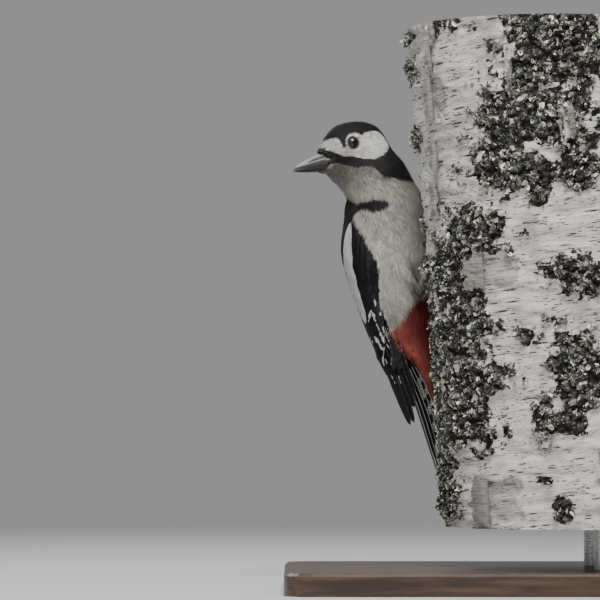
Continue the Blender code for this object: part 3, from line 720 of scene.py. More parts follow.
def skin_surface():
    """The flesh nodes made one smooth closed surface, drawn in by the coat's depth."""
    points, triangles = node_arrays(FLESH + ("eye_left", "eye_right"))
    filler, filler_faces = plug(*BILL_SOCKET)
    triangles = np.vstack([triangles, filler_faces + len(points)])
    raw = build("skin_source", np.vstack([points, filler]), [triangles])
    for kind, settings in (
        ("REMESH", {"mode": "VOXEL", "voxel_size": 0.9 * MM}),
        ("DISPLACE", {"strength": GROWTH * MM, "mid_level": 0.0}),
        ("REMESH", {"mode": "VOXEL", "voxel_size": 0.95 * MM}),
        ("SMOOTH", {"iterations": 8, "factor": 0.5}),
    ):
        modifier = raw.modifiers.new(kind, kind)
        for key, value in settings.items():
            setattr(modifier, key, value)
    mesh = bpy.data.meshes.new_from_object(raw.evaluated_get(bpy.context.evaluated_depsgraph_get()))
    bpy.data.objects.remove(raw)
    grown, triangles = mesh_arrays(mesh)
    grown = grown.astype(float) / MM
    f, _, u = head_coordinates(grown)
    thin_chin = mix(1.0, 0.6, step(17.0, 23.0, f) * step(-14, -8, u))
    depth = mix(BODY_COAT, HEAD_COAT, step(-24.0, -10.0, u)) * thin_chin
    drawn = grown - vertex_normals(grown, triangles) * (GROWTH + depth)[:, None]
    return Surface(drawn, triangles)


def unwrap(points):
    """Each point's place, 0 to 1, on the skin unrolled round the body's axis, with the head's above it."""
    f, l, u = head_coordinates(points)
    s, d, r = body_coordinates(points)
    head = u + 0.25 * f > -14.0
    round_body = np.arctan2(r - np.interp(s, [-4, 45], [0, 8.5]), d + 3.0)
    turn = np.where(head, np.arctan2(l, u - 1.0), round_body)
    reach = np.where(head, 0.74 + (f + 22.0) / 54.0 * 0.24, 0.02 + (s + 92.0) / 155.0 * 0.70)
    return np.stack([0.02 + 0.96 * (turn / (2 * math.pi) + 0.5), np.clip(reach, 0.01, 0.99)], -1)


def make_skin(surface, material):
    """The skin under the coat, a little darker than it, as it lies in its shade."""
    tint = plumage_tint(surface.points, 0.6) * 0.8
    obj = build("skin", surface.points, [surface.triangles], material, tint, normals=surface.normals)
    return finish(obj, "plumage_buff", *FLESH)


# Coat

def flow(points, normals):
    """The way feathers lie: back from the bill over the head, round the eye, and down to the tail."""
    f, l, u = head_coordinates(points)
    s, d, r = body_coordinates(points)
    under = step(2.0, -14.0, u)[:, None]
    back = -FORWARD * (1.0 - 0.45 * under) - UP * (0.10 + 0.9 * under)
    nape = step(-6.0, -15.0, f)[:, None]
    back = mix(back, -UP * 0.9 - FORWARD * 0.35, nape)
    side = np.sign(l)[:, None]
    from_eye = np.stack([f - EYE[0], np.zeros_like(f), u - EYE[2]], -1)
    gap = np.linalg.norm(from_eye, axis=1)
    radial = unit(from_eye) @ HEAD_AXES
    back = back + radial * (1.3 * np.exp(-np.maximum(gap - 3.2, 0) / 1.6) * (np.abs(l) > 5))[:, None]
    back = back + LEFT * side * 0.12
    flank = np.exp(-((d + 3.0) / 9.0) ** 2)[:, None] * np.sign(r)[:, None]
    down = -ALONG + DORSAL * 0.16 * np.abs(flank) - RIGHT * flank * 0.05
    lie = mix(down, back, step(-34.0, -17.0, u)[:, None] * step(28.0, 46.0, s)[:, None])
    lie = lie - normals * np.sum(lie * normals, axis=1, keepdims=True)
    return unit(lie)


def scatter(surface, spacing, keep):
    """Random points on a surface, no two closer than the spacing, where keep says so."""
    a, b, c = (surface.points[surface.triangles[:, k]] for k in range(3))
    area = np.linalg.norm(np.cross(b - a, c - a), axis=1) / 2
    area = np.where(keep((a + b + c) / 3), area, 0)
    count = int(area.sum() / spacing ** 2 * 4)
    chosen = rng.choice(len(area), count, p=area / area.sum())
    w = rng.random((count, 2))
    w = np.where(w.sum(1, keepdims=True) > 1, 1 - w, w)
    places = a[chosen] + (b - a)[chosen] * w[:, :1] + (c - a)[chosen] * w[:, 1:]
    boxes = np.floor(places / spacing).astype(int).tolist()
    around = [(i, j, k) for i in (-1, 0, 1) for j in (-1, 0, 1) for k in (-1, 0, 1)]
    cells, kept = {}, []
    for number, (place, (x, y, z)) in enumerate(zip(places.tolist(), boxes)):
        others = (other for i, j, k in around for other in cells.get((x + i, y + j, z + k), ()))
        if all(sum((p - q) ** 2 for p, q in zip(place, other)) >= spacing * spacing for other in others):
            cells.setdefault((x, y, z), []).append(place)
            kept.append(number)
    return places[kept], surface.smooth_normal(places[kept], chosen[kept])


def laid(surface, roots, normals, length):
    """Three points along each feather that lies on the surface, and the normals there."""
    count = len(roots)
    length = length * rng.uniform(0.85, 1.15, count)
    turn = flow(roots, normals)
    turn = unit(turn + np.cross(normals, turn) * rng.normal(0, 0.08, (count, 1)))
    middle, middle_normal = surface.nearest(roots + turn * length[:, None] / 2)
    turn = flow(middle, middle_normal)
    end, end_normal = surface.nearest(middle + turn * length[:, None] / 2)
    return np.stack([roots, middle, end], 1), np.stack([normals, middle_normal, end_normal], 1)


def spines(place, stages):
    """Spines and facings for Tufts: place(k, lift) gives both at each stage from root to tip."""
    spine, facing = zip(*[place(k, lift) for k, lift in stages])
    return np.stack(spine, 1), np.stack(facing, 1)


class Tufts:
    """Feathers of one coat region: each a fan of tapering locks bent along the lie of the coat."""

    STATIONS = np.array([0.0, 0.45, 0.8, 1.0])  # parts of a lock's length at which it has points
    STEPS = len(STATIONS) - 1
    POINTS = 2 * STEPS + 1  # two at each station, and one at the tip
    PATCH = 0.003  # side of a tuft's place on the bake map

    def __init__(self, spine, normal, half_width, height, locks, softness):
        self.root, self.count, self.locks = spine[:, 0], len(spine), locks
        middle = self.shape(spine, normal, half_width, height, softness)
        self.paint(middle, softness)

    def shape(self, spine, normal, half_width, height, softness):
        """Points and normals of the locks, from three points and normals along each feather."""
        count, locks = self.count, self.locks
        half_width = np.broadcast_to(half_width, count)[:, None, None]
        height = np.broadcast_to(height, count)[:, None, None]
        across_at = np.linspace(-1, 1, locks)[None, :, None]
        reach = (1 - 0.32 * across_at ** 2) * rng.uniform(0.80, 1.0, (count, locks, 1))
        t = self.STATIONS[None, None, :] * reach
        k = t[..., None]
        bend = bend_through(spine[:, 0], spine[:, 1], spine[:, 2])
        root, bend, tip = (ends[:, None, None] for ends in (spine[:, 0], bend, spine[:, 2]))
        line = curve(root, bend, tip, k)
        ahead = unit(2 * (1 - k) * (bend - root) + 2 * k * (tip - bend))
        up = unit(mix(normal[:, None, None, 0], normal[:, None, None, 2], k))
        across = np.cross(ahead, up)
        spread = 0.28 + 0.72 * np.sin(0.5 * math.pi * np.minimum(t / 0.55, 1)) - 0.30 * step(0.6, 1.0, t)
        sway = rng.normal(0, 0.22 * softness, (count, locks, 1)) * t ** 2
        offset = half_width * (across_at * spread + sway)
        lift = height * (0.12 + 0.88 * t) + height * softness * rng.normal(0, 0.35, (count, locks, 1)) * t
        lift = lift - 0.15 * offset ** 2 / half_width
        blade = half_width / locks * 1.35 * (1 - self.STATIONS ** 2.2)[None, None, :]
        middle = line + across * offset[..., None] + up * lift[..., None]
        facing = up + across * 0.30 * across_at[..., None] - ahead * 0.10
        self.points = self.pairs(middle, across * blade[..., None])
        self.normals = self.pairs(facing, across * 0.22)
        return middle

    def pairs(self, middle, half):
        """Each station's left and right values, and the tip's own, as rows of a lock."""
        sides = np.stack([(middle - half)[:, :, :-1], (middle + half)[:, :, :-1]], 3)
        return np.concatenate([sides.reshape(self.count, self.locks, -1, 3), middle[:, :, -1:]], 2)

    def paint(self, middle, softness):
        """Tints from the markings near each point, darker at the roots with painted shade, in clumps of
        uneven tone.
        """
        count, locks = self.count, self.locks
        lain = np.stack(body_coordinates(self.root), -1)
        tone = (1 + 0.26 * wander(lain, (6.5, 2.4, 2.4), 17.0, 2)).clip(0.6, 1.25)[:, None, None]
        tone = tone * rng.normal(1, 0.05, (count, 1, 1))
        tone = tone * rng.normal(1, 0.12, (count, locks, 1)).clip(0.6, 1.3)
        stray = rng.normal(0, 0.2 * softness, (count, 1, 1, 3))
        stray = stray + rng.normal(0, 0.25 * softness, (count, locks, 1, 3))
        seen = mix(middle[:, :, 1:2], middle, 0.75) + stray
        own = plumage_tint(seen.reshape(-1, 3), 0.2).reshape(middle.shape)
        # painted shade at the roots, under the feathers that lie over them
        own = own * mix(0.66, 1.0, step(0.0, 0.6, self.STATIONS))[None, None, :, None] * tone[..., None]
        self.tint = self.pairs(own, 0.0)

    def faces(self):
        starts = (np.arange(self.count * self.locks) * self.POINTS)[:, None]
        quads = [starts + np.array([2 * r, 2 * r + 1, 2 * r + 3, 2 * r + 2]) for r in range(self.STEPS - 1)]
        return np.vstack(quads), starts + self.POINTS - np.array([3, 2, 1])

    def patches(self):
        """A small patch for each tuft at its root's place on the unrolled skin."""
        u = np.linspace(-self.PATCH / 2, self.PATCH / 2, self.locks)[None, :, None]
        rows = np.repeat(np.arange(self.STEPS + 1), 2)[:self.POINTS] / self.STEPS
        patch = np.stack(np.broadcast_arrays(u, (rows * self.PATCH - self.PATCH / 2)[None, None, :]), -1)
        patch = np.broadcast_to(patch, (self.count, self.locks, self.POINTS, 2))
        return unwrap(self.root)[:, None, None, :] + patch

    def make(self, name, material, slot):
        maps = {"OFBake": self.patches().reshape(-1, 2)}
        points, tint, normals = (rows.reshape(-1, 3) for rows in (self.points, self.tint, self.normals))
        return finish(build(name, points, self.faces(), material, tint, maps=maps, normals=normals), slot)


# Lower edge of the folded wing: (along, degrees round from the back)
WING_EDGE = ((-52, 70), (-42, 76), (-31, 80), (-20, 79), (-10, 89), (-1, 96), (10, 93), (22, 85), (30, 71),
             (37, 64), (41, 52))


def wing_edge(s):
    return np.interp(s, *np.transpose(WING_EDGE))


def cover_middle(s):
    """Dorsal and right of the line that degrees round the body are measured about."""
    return np.interp(s, [-50, 12, 45], [1.5, -3.0, -9.5]), np.interp(s, [-4, 12, 45], [0.0, 1.5, 8.5])


def body_turn(points):
    """Along the body, and degrees round it from the back."""
    s, d, r = body_coordinates(points)
    middle_d, middle_r = cover_middle(s)
    return s, np.degrees(np.arctan2(r - middle_r, d - middle_d))


def under_wing(points):
    """Whether wings or mantle cover the points, short of a margin at the wing's edge."""
    s, turn = body_turn(points)
    return (s > -50) & (s < 38) & (np.abs(turn) < wing_edge(s) - 4.0)


def on_face(points):
    f, _, u = head_coordinates(points)
    return u + 0.30 * f > -11.0


# The bare corner of the bill: forward places of its ends, and the height of its upper edge
GAPE_CORNER, GAPE_FRONT, GAPE_TOP = 21.0, 27.4, -1.0


def gape_bottom(f):
    """Height of the gape's lower edge."""
    return mix(-3.0, -5.4, np.clip((np.asarray(f, float) - GAPE_CORNER) / 3.0, 0, 1))


def off_bill_and_eyes(points):
    f, l, u = head_coordinates(points)
    bill = (f > 24.5) & (np.abs(l) < 6.5) & (u < 4.2)
    gape = (f > GAPE_CORNER - 0.4) & (u < GAPE_TOP + 0.2) & (u > gape_bottom(f) - 0.2)
    eye = (np.hypot(f - EYE[0], u - EYE[2]) < 3.2) & (np.abs(l) > 6)
    return ~(bill | gape | eye)


def on_body_between(low, high):
    """A test for points between two places along the body, off the face and clear of the wings."""
    def test(points):
        s = body_coordinates(points)[0]
        return (s > low) & (s <= high) & ~on_face(points) & ~under_wing(points)
    return test


def crown(points):
    """1 on top of the head, where the coat stands a little higher, to 0 away from it."""
    f, _, u = head_coordinates(points)
    return step(3.0, 8.5, u) * step(20.0, 12.0, f) * step(-16.0, -9.0, f)


def swell(points):
    """Millimetres that the loose feathers of the throat and the forehead stand off the skin."""
    f, _, u = head_coordinates(points)
    forehead = 1.3 * np.exp(-((u - 4.8) / 2.4) ** 2) * step(20.0, 24.0, f)
    return 1.6 * np.exp(-((u + 12.0) / 5.5) ** 2) * step(5.0, 13.0, f) + forehead


# Name, spacing, length, half width, height, locks, softness, mottle, slot and a test for where it grows
COAT = (
    ("coat_face", 0.62, 3.0, 0.66, 0.42, 7, 0.7, 0.13, "plumage_white",
     lambda points: on_face(points) & off_bill_and_eyes(points)),
    ("coat_throat", 1.0, 5.0, 1.2, 1.0, 9, 1.1, 0.03, "plumage_buff", on_body_between(38, math.inf)),
    ("coat_breast", 1.25, 6.8, 1.7, 1.2, 11, 1.2, 0.03, "plumage_buff", on_body_between(4, 38)),
    ("coat_belly", 1.30, 9.5, 1.8, 1.35, 12, 1.3, 0.03, "plumage_buff", on_body_between(-38, 4)),
    ("coat_vent", 1.30, 8.0, 1.7, 1.1, 10, 1.0, 0.03, "plumage_crimson", on_body_between(-math.inf, -38)),
)


def make_coat(surface, material):
    thin = 1.0
    for name, spacing, length, half_width, height, locks, softness, mottle, slot, where in COAT:
        roots, normals = scatter(surface, spacing * thin, where)
        spine, facing = laid(surface, roots, normals, length)
        high = height + 0.75 * crown(roots)
        spine = spine + facing * swell(spine)[..., None]
        tufts = Tufts(spine, facing, half_width * thin ** 0.5, high, locks, softness)
        tufts.tint = tufts.tint * rng.normal(1.0, mottle, (len(roots), 1, 1, 1))
        tufts.make(name, material, slot)


def make_flank(cover, material):
    """Loose flank feathers, in three rows that lap up over the lower edge of the folded wings."""
    along, row, side = np.meshgrid(np.arange(37.0, -56.0, -0.95), (0, 1, 2), (-1, 1))
    along = along.ravel() + rng.normal(0, 0.4, along.size)
    side = side.ravel()
    turn = wing_edge(along) + 15.5 - 4.3 * row.ravel() + rng.normal(0, 1.2, along.size)
    turn = turn - 4.0 * step(-30.0, -44.0, along)
    length = rng.uniform(5.5, 8.5, along.size)

    def place(k, lift):
        s, degrees = along - length * k, side * (turn - 6.5 * k)
        return cover.place(s, degrees, lift), cover.facing(s, degrees)

    spine, facing = spines(place, ((0.0, -0.2), (0.5, 0.55), (1.0, 0.95)))
    return Tufts(spine, facing, 1.5, 0.5, 11, 1.0).make("coat_flank", material, "plumage_buff")


# Vaned feathers of the back, wings and tail

# White of the shoulder: (along, degrees round from the back), and the white spots as strokes:
# (along, degrees, along, degrees, half width)
SHOULDER_PATCH = (
    (27.0, 67.5), (23.2, 60.5), (18.5, 57.5), (12.0, 52.5), (6.0, 44.0), (-4.0, 36.0), (-16.0, 38.0),
    (-24.0, 44.0), (-30.0, 51.0), (-28.5, 56.0), (-23.3, 60.0), (-16.3, 61.5), (-9.0, 63.0), (-5.0, 65.0),
    (2.4, 65.5), (7.7, 69.6), (15.4, 71.3), (19.5, 71.5), (24.0, 70.0),
)
WING_SPOTS = (
    (-20.0, 76.0, -23.6, 75.0, 0.5), (-25.0, 68.5, -29.8, 59.0, 0.55), (-26.5, 69.5, -35.7, 69.0, 0.55),
    (-35.7, 69.0, -43.8, 68.0, 0.5), (-28.0, 77.0, -30.0, 76.5, 0.35), (-36.0, 75.0, -41.0, 71.5, 0.5),
    (-38.6, 59.0, -44.1, 61.3, 0.75), (-44.1, 61.3, -47.4, 63.0, 0.55), (-47.0, 67.0, -52.4, 62.0, 0.5),
    (-51.0, 61.0, -56.0, 54.5, 0.55), (-61.0, 45.0, -66.8, 46.3, 0.3), (-63.2, 57.5, -68.0, 55.4, 0.45),
    (-38.0, 50.0, -41.5, 50.5, 0.6), (-50.5, 47.0, -54.0, 47.5, 0.5),
)
MM_PER_DEGREE = 0.43


class Cover:
    """The smooth outline of back and folded wings: a radius for each place along the body and round it."""

    ALONGS, TURNS = np.arange(-50.0, 43.0, 2.0), np.arange(-112.0, 113.0, 4.0)
    OUTSIDE = 60.0  # how far out the rays that look for the outline start
    NO_HIT = 12.0
    CLOSED_BELOW = 12.0  # along: from here to the tail the gaps between wings and body are bridged

    def __init__(self, surface):
        sides = ("left", "right")
        wings = ["wing_%s_%s" % (side, part) for side in sides for part in ("coverts", "secondaries")]
        points, triangles = node_arrays(wings)
        triangles = np.vstack([triangles, surface.triangles + len(points)])
        tree = BVHTree.FromPolygons(np.vstack([points, surface.points]).tolist(), triangles.tolist())
        found = np.array([[self.reach(tree, s, turn) for turn in self.TURNS] for s in self.ALONGS])
        closed = found
        for pick in (np.max, np.min):
            padded = np.pad(closed, ((3, 3), (0, 0)), mode="edge")
            closed = pick([padded[k:k + len(self.ALONGS)] for k in range(7)], axis=0)
        self.table = np.where(self.ALONGS[:, None] < self.CLOSED_BELOW, closed, found)
        for _ in range(3):
            padded = np.pad(self.table, 1, mode="edge")
            ring = padded[:-2, 1:-1] + padded[2:, 1:-1] + padded[1:-1, :-2] + padded[1:-1, 2:]
            self.table = 0.5 * self.table + 0.125 * ring

    def middle(self, s):
        return in_body(s, *cover_middle(s))

    def out(self, turn):
        angle = np.radians(np.asarray(turn, float))[..., None]
        return DORSAL * np.cos(angle) + RIGHT * np.sin(angle)

    def reach(self, tree, s, turn):
        """How far out the wings or the skin are."""
        out, middle = self.out(turn), self.middle(s)
        spot = tree.ray_cast(Vector(middle + out * self.OUTSIDE), Vector(-out))[0]
        return float((np.array(spot) - middle) @ out) if spot else self.NO_HIT

    def radius(self, s, turn):
        """The table's radius between its places, tapering on beyond its end towards the tail."""
        row = (s - self.ALONGS[0]) / (self.ALONGS[1] - self.ALONGS[0])
        column = (turn - self.TURNS[0]) / (self.TURNS[1] - self.TURNS[0])
        row = np.clip(row, 0, len(self.ALONGS) - 1.001)
        column = np.clip(column, 0, len(self.TURNS) - 1.001)
        i, j = row.astype(int), column.astype(int)
        a, b = row - i, column - j
        before, after = (self.table[k, j] * (1 - b) + self.table[k, j + 1] * b for k in (i, i + 1))
        return before * (1 - a) + after * a + 0.22 * np.minimum(s - self.ALONGS[0], 0)

    def place(self, s, turn, lift=0.0):
        """Points on the outline, or lift above it."""
        s, turn, lift = np.broadcast_arrays(*[np.asarray(v, float) for v in (s, turn, lift)])
        return self.middle(s) + self.out(turn) * (self.radius(s, turn) + lift)[..., None]

    def facing(self, s, turn):
        """The outline's normals."""
        s, turn = np.broadcast_arrays(*[np.asarray(v, float) for v in (s, turn)])
        ahead = self.place(s + 1.5, turn) - self.place(s - 1.5, turn)
        around = self.place(s, turn + 3) - self.place(s, turn - 3)
        out = unit(np.cross(around, ahead))
        return out * np.sign(np.sum(out * self.out(turn), axis=-1, keepdims=True))


def wing_white(points):
    """How far inside the white of shoulder and spots, about -1 to 1 a millimetre either side of the edge."""
    s, turn = body_turn(points)
    turn = np.abs(turn)
    patch = np.array(SHOULDER_PATCH) * (1, MM_PER_DEGREE)
    deep = inside_distance(s, turn * MM_PER_DEGREE, patch)
    for s0, turn0, s1, turn1, half in WING_SPOTS:
        dx, dy = s1 - s0, (turn1 - turn0) * MM_PER_DEGREE
        y = (turn - turn0) * MM_PER_DEGREE
        k = np.clip(((s - s0) * dx + y * dy) / (dx * dx + dy * dy), 0, 1)
        narrow = half * (1 - 0.5 * np.abs(2 * k - 1) ** 3)
        deep = np.maximum(deep, narrow - np.hypot(s - s0 - k * dx, y - k * dy))
    ragged = wander(points, 1.3, 40.0, 2) * (0.25 + 0.55 * step(-20.0, -30.0, s))
    return np.clip((deep + ragged) / 0.9, -1, 1)


class Vanes:
    """Feathers with a shaft and two webs, gathered into one mesh of closed thin blades.

    columns are the places of points across a feather, and shaft is how far its shaft stands up.
    """

    def __init__(self, columns=(-1, -0.62, -0.25, 0, 0.25, 0.62, 1), thickness=0.12, shaft=0.06):
        self.columns = np.array(columns, float)
        self.thickness, self.shaft = thickness, shaft
        self.points, self.faces, self.tint, self.mark, self.vane = [], [], [], [], []
        self.count, self.feathers = 0, 0

    def add(self, spine, out, half, tint, mark=None, camber=0.25, skew=0.0, blunt=2.2, ragged=0.10,
            fringe=-1.0):
        """A feather: spine and out are rows from root to tip, and half is its half width.

        mark gives the white at points, fringe is the mark along both edges, camber how far the edges hang,
        and blunt how full the end is.
        """
        rows, columns = len(spine), len(self.columns)
        t = np.linspace(0, 1, rows)[:, None]
        v = self.columns[None, :]
        ahead = unit(np.gradient(spine, axis=0))
        across = unit(np.cross(ahead, out))[:, None]
        outline = np.minimum(1, 0.35 + 2.6 * t) * (1 - t ** (blunt * 2.2)) ** 0.5
        outline = outline * (1 + ragged * rng.uniform(-1, 0.3, (rows, 1)) * (np.abs(v) > 0.9))
        wide = half * outline * v * (1 + skew * np.sign(v))
        rise = self.shaft * (v == 0) * (1 - 0.7 * t) - camber * v ** 2 * outline
        sweep = -0.35 * half * np.abs(v) ** 1.5 * (0.2 + 0.8 * (1 - t))
        top = spine[:, None] + across * wide[..., None] + out[:, None] * rise[..., None]
        top = top + ahead[:, None] * sweep[..., None]
        low = top - out[:, None] * self.thickness
        self.points.append(np.concatenate([top.reshape(-1, 3), low.reshape(-1, 3)]))
        self.faces += sheet_faces(rows, columns, self.count)
        marks = mark(top.reshape(-1, 3)).reshape(rows, columns) if mark else np.full((rows, columns), -1.0)
        marks[:, [0, -1]] = np.maximum(marks[:, [0, -1]], fringe)
        self.mark += [marks.ravel()] * 2
        colour = tint * rng.normal(1, 0.08)
        self.tint += [np.broadcast_to(colour, (rows, columns, 3)).reshape(-1, 3)] * 2
        length = np.linalg.norm(np.diff(spine, axis=0), axis=1).sum()
        self.vane += [np.stack(np.broadcast_arrays(wide, t * length), -1).reshape(-1, 2)] * 2
        self.count += 2 * rows * columns
        self.feathers += 1

    def bake_map(self):
        """Each feather in a box of its own, in rows over the square."""
        side = math.ceil(math.sqrt(self.feathers))
        places = []
        for number in range(self.feathers):
            flat = self.vane[2 * number]
            span = flat.max(0) - flat.min(0) + 1e-6
            local = (flat - flat.min(0)) / span * 0.88 + 0.06
            corner = np.array([number % side, number // side])
            places += [(corner + local) / side] * 2
        return np.vstack(places)

    def make(self, name, material, slot, *nodes):
        maps = {"Vane": np.vstack(self.vane), "OFBake": self.bake_map()}
        obj = build(name, np.vstack(self.points), [np.vstack(self.faces)], material,
                    np.vstack(self.tint), {"Mark": np.concatenate(self.mark)}, maps)
        obj.data.set_sharp_from_angle(angle=math.radians(55))
        return finish(obj, slot, *nodes)


def cover_feather(vanes, cover, root, tip, half, lift, tint, rows=9, **shape):
    """A feather on the wing's cover from root to tip, each (along, degrees); lift is its height at both."""
    t = np.linspace(0, 1, rows)
    s, turn = mix(root[0], tip[0], t), mix(root[1], tip[1], t)
    spine = cover.place(s, turn, mix(lift[0], lift[1], t ** 0.8))
    vanes.add(spine, cover.facing(s, turn), half, tint, wing_white, **shape)


def make_coverts(cover, side, word, material):
    """Rows of small feathers over shoulder and wing, longer towards the tail; side 1 is the bird's right."""
    vanes = Vanes()
    s, row = 39.0, 0
    while s > -10.0:
        grown = step(34.0, -4.0, s)
        length, half = mix(5.2, 13.0, grown), mix(1.45, 2.5, grown)
        pitch = half * 1.45 / (MM_PER_DEGREE * 1.05)
        first = mix(15.0, 58.0, step(33.0, 24.0, s))
        for turn in np.arange(first + (row % 2) * pitch / 2, wing_edge(s) + 1.0, pitch):
            wobble = rng.normal(0, 0.5, 2)
            root = (s + wobble[0], side * turn)
            tip = (s - length * rng.uniform(0.94, 1.06), side * (turn - mix(0.5, 5.5, grown) + wobble[1]))
            lift = (0.05, 0.42 + rng.uniform(0, 0.12))
            cover_feather(vanes, cover, root, tip, half, lift, WING_BLACK, rows=11, blunt=1.7, ragged=0.22)
        s -= mix(1.9, 3.9, grown)
        row += 1
    return vanes.make("wing_%s_covert_feathers" % word, material, "plumage_black", "wing_%s_coverts" % word)


def make_scapulars(cover, side, word, material):
    """The long loose white feathers of the shoulder, and the black ones between them and the back."""
    vanes = Vanes(columns=(-1, -0.8, -0.6, -0.4, -0.2, 0, 0.2, 0.4, 0.6, 0.8, 1))
    for s in np.arange(27.0, -21.0, -3.1):
        first = 24.0 + 2.5 * (round(s / 3.1) % 2)
        for turn in np.arange(first, 66.0, 5.4):
            root = (s + rng.normal(0, 0.4), side * (turn + rng.normal(0, 0.7)))
            tip = (s - rng.uniform(11.5, 14.0), side * (turn - 2.5 + 4.5 * (turn < 40)))
            lift = (0.55, 1.15 + rng.uniform(0, 0.25) - 0.5 * step(-6.0, -20.0, s))
            cover_feather(vanes, cover, root, tip, 1.9, lift, WING_BLACK, rows=16, blunt=1.5, ragged=0.25)
    return vanes.make("wing_%s_scapulars" % word, material, "plumage_white")


def make_mantle(cover, material):
    """The black of the back and rump, between the wings."""
    vanes = Vanes()
    for row, s in enumerate(np.arange(46.0, -53.0, -2.7)):
        reach = mix(46.0, 28.0, step(36.0, 26.0, s)) - 8.0 * step(-20.0, -45.0, s)
        for turn in np.arange(-reach + (row % 2) * 3.4, reach + 0.1, 6.8):
            root = (s + rng.normal(0, 0.4), turn + rng.normal(0, 0.6))
            tip = (s - rng.uniform(7.5, 9.5), turn * 0.97)
            lift = (0.1, 0.75 + rng.uniform(0, 0.2))
            cover_feather(vanes, cover, root, tip, 2.2, lift, WING_BLACK, blunt=1.7)
    return vanes.make("mantle_feathers", material, "plumage_black")


FLIGHT_COLUMNS = (-1, -0.8, -0.6, -0.4, -0.2, -0.05, 0, 0.05, 0.2, 0.4, 0.6, 0.8, 1)  # closer by the shaft
SECONDARIES = 11
# Primaries, as in the solids: (tip along, tip dorsal, tip right, root dorsal, root right)
PRIMARIES = (
    (-92.5, 10.8, 10.8, 13.6, 12.8),
    (-92.0, 8.6, 11.3, 10.8, 13.6),
    (-84.0, 6.0, 12.4, 8.2, 14.4),
    (-77.0, 3.6, 13.6, 5.6, 15.2),
)
PRIMARY_ROOT, FEATHER_LAYER = -52.4, 1.05


def make_flight(cover, side, word, material):
    """Secondaries and tertials, whose tips step along the back's edge, and the primaries beyond them."""
    vanes = Vanes(FLIGHT_COLUMNS, thickness=0.22, shaft=0.16)
    for i in range(SECONDARIES):
        k = i / (SECONDARIES - 1)
        root = (mix(2.0, -12.0, k), side * mix(40.0, 88.0, k))
        tip = (mix(-38.0, -61.0, k), side * mix(49.0, 47.0, k))
        lift = (mix(0.55, 0.15, k), mix(1.1, 0.35, k))
        shape = {"rows": 44, "blunt": 2.8, "camber": 0.4, "ragged": 0.08}
        cover_feather(vanes, cover, root, tip, 3.3, lift, WING_BLACK, **shape)
    t = np.linspace(0, 1, 46)[:, None]
    out = unit(RIGHT * side * 0.97 + DORSAL * 0.24)
    for i, (tip_s, tip_d, tip_r, root_d, root_r) in enumerate(PRIMARIES):
        start = cover.place(-26.0, side * (62.0 + 7.0 * i), -0.5 - 0.3 * i)
        knee = in_body(PRIMARY_ROOT, root_d, side * root_r) - out * (i * FEATHER_LAYER - 0.3)
        tip = in_body(tip_s, tip_d, side * tip_r) - out * (i * FEATHER_LAYER - 0.1)
        spine = curve(start, bend_through(start, knee, tip), tip, t)
        vanes.add(spine, np.repeat(out[None], len(t), 0), 3.3, PRIMARY_BLACK, wing_white,
                  camber=0.3, blunt=3.6, ragged=0.06, fringe=-0.05)
    nodes = ["wing_%s_secondaries" % word] + ["wing_%s_primary_%d" % (word, i + 1) for i in range(4)]
    return vanes.make("wing_%s_flight_feathers" % word, material, "plumage_black", *nodes)


# Tail, as in the solids: a steep roof of five feathers a side, the middle pair longest
TAIL_ROOT, TAIL_END = (-61.4, 11.6, 0.0), (-127.5, 7.6, 2.6)
TAIL_LENGTHS = (1.0, 0.95, 0.87, 0.77, 0.66)
TAIL_STEP, TAIL_HALF_WIDTH = 2.7, 4.6
ROOF_SLOPE, ROOF_CURVE = math.radians(28.0), math.radians(36.0)
TAIL_BARS = {3: (0.46, 0.66, 0.84), 4: (0.30, 0.50, 0.69, 0.87)}  # black bars along the two outer feathers


def tail_place(side, i, reach):
    """Feather i of the tail, at a distance from its root: its middle and the way it faces."""
    root, end = in_body(*TAIL_ROOT), in_body(*TAIL_END)
    down = unit(end - root)
    dorsal = unit(DORSAL - down * (DORSAL @ down))
    right = np.cross(-down, dorsal) * side
    spread = (0.62 + 0.38 * min(1.0, reach / 30)) * (TAIL_STEP * i + TAIL_HALF_WIDTH + 0.35)
    slope = ROOF_SLOPE + ROOF_CURVE * spread / 16
    mean = ROOF_SLOPE + 0.5 * ROOF_CURVE * spread / 16
    out = dorsal * math.cos(slope) + right * math.sin(slope)
    middle = root + down * reach + (right * math.cos(mean) - dorsal * math.sin(mean)) * spread
    return middle - out * i * FEATHER_LAYER, out


def tail_white(i, points, length):
    """White of feather i: none on the middle two, a tip on the third, and bars on the outer two."""
    root, end = in_body(*TAIL_ROOT), in_body(*TAIL_END)
    reach = (points - root) @ unit(end - root) / length
    if i < 2:
        return np.full(len(points), -1.0)
    if i == 2:
        return step(0.80, 0.86, reach) * 2 - 1
    beyond_root = step(0.12, 0.20, reach)
    deep = beyond_root - (1 - beyond_root)
    for bar in TAIL_BARS[i]:
        deep = np.minimum(deep, (np.abs(reach - bar) * length - 2.2) / 0.9)
    return np.clip(deep, -1, 0.03)


def make_tail(side, word, material):
    """Stiff pointed feathers; the shafts are thick, to prop the bird on the bark."""
    vanes = Vanes(FLIGHT_COLUMNS, thickness=0.3, shaft=0.34)
    whole = np.linalg.norm(in_body(*TAIL_END) - in_body(*TAIL_ROOT))
    for i, part in enumerate(TAIL_LENGTHS):
        places = [tail_place(side, i, reach) for reach in np.linspace(0, part * whole, 46)]
        spine, out = (np.array(v) for v in zip(*places))
        tint, pointed = (SOFT_BLACK, 1.15) if i < 3 else (BLACK, 1.8)
        vanes.add(spine + out * 0.15, out, TAIL_HALF_WIDTH, tint, lambda p: tail_white(i, p, part * whole),
                  camber=0.35, blunt=pointed, fringe=0.03)
    nodes = ["tail_%s_%d" % (word, i + 1) for i in range(5)]
    return vanes.make("tail_%s_feathers" % word, material, "plumage_black", *nodes)


# Bill, eyes and lids

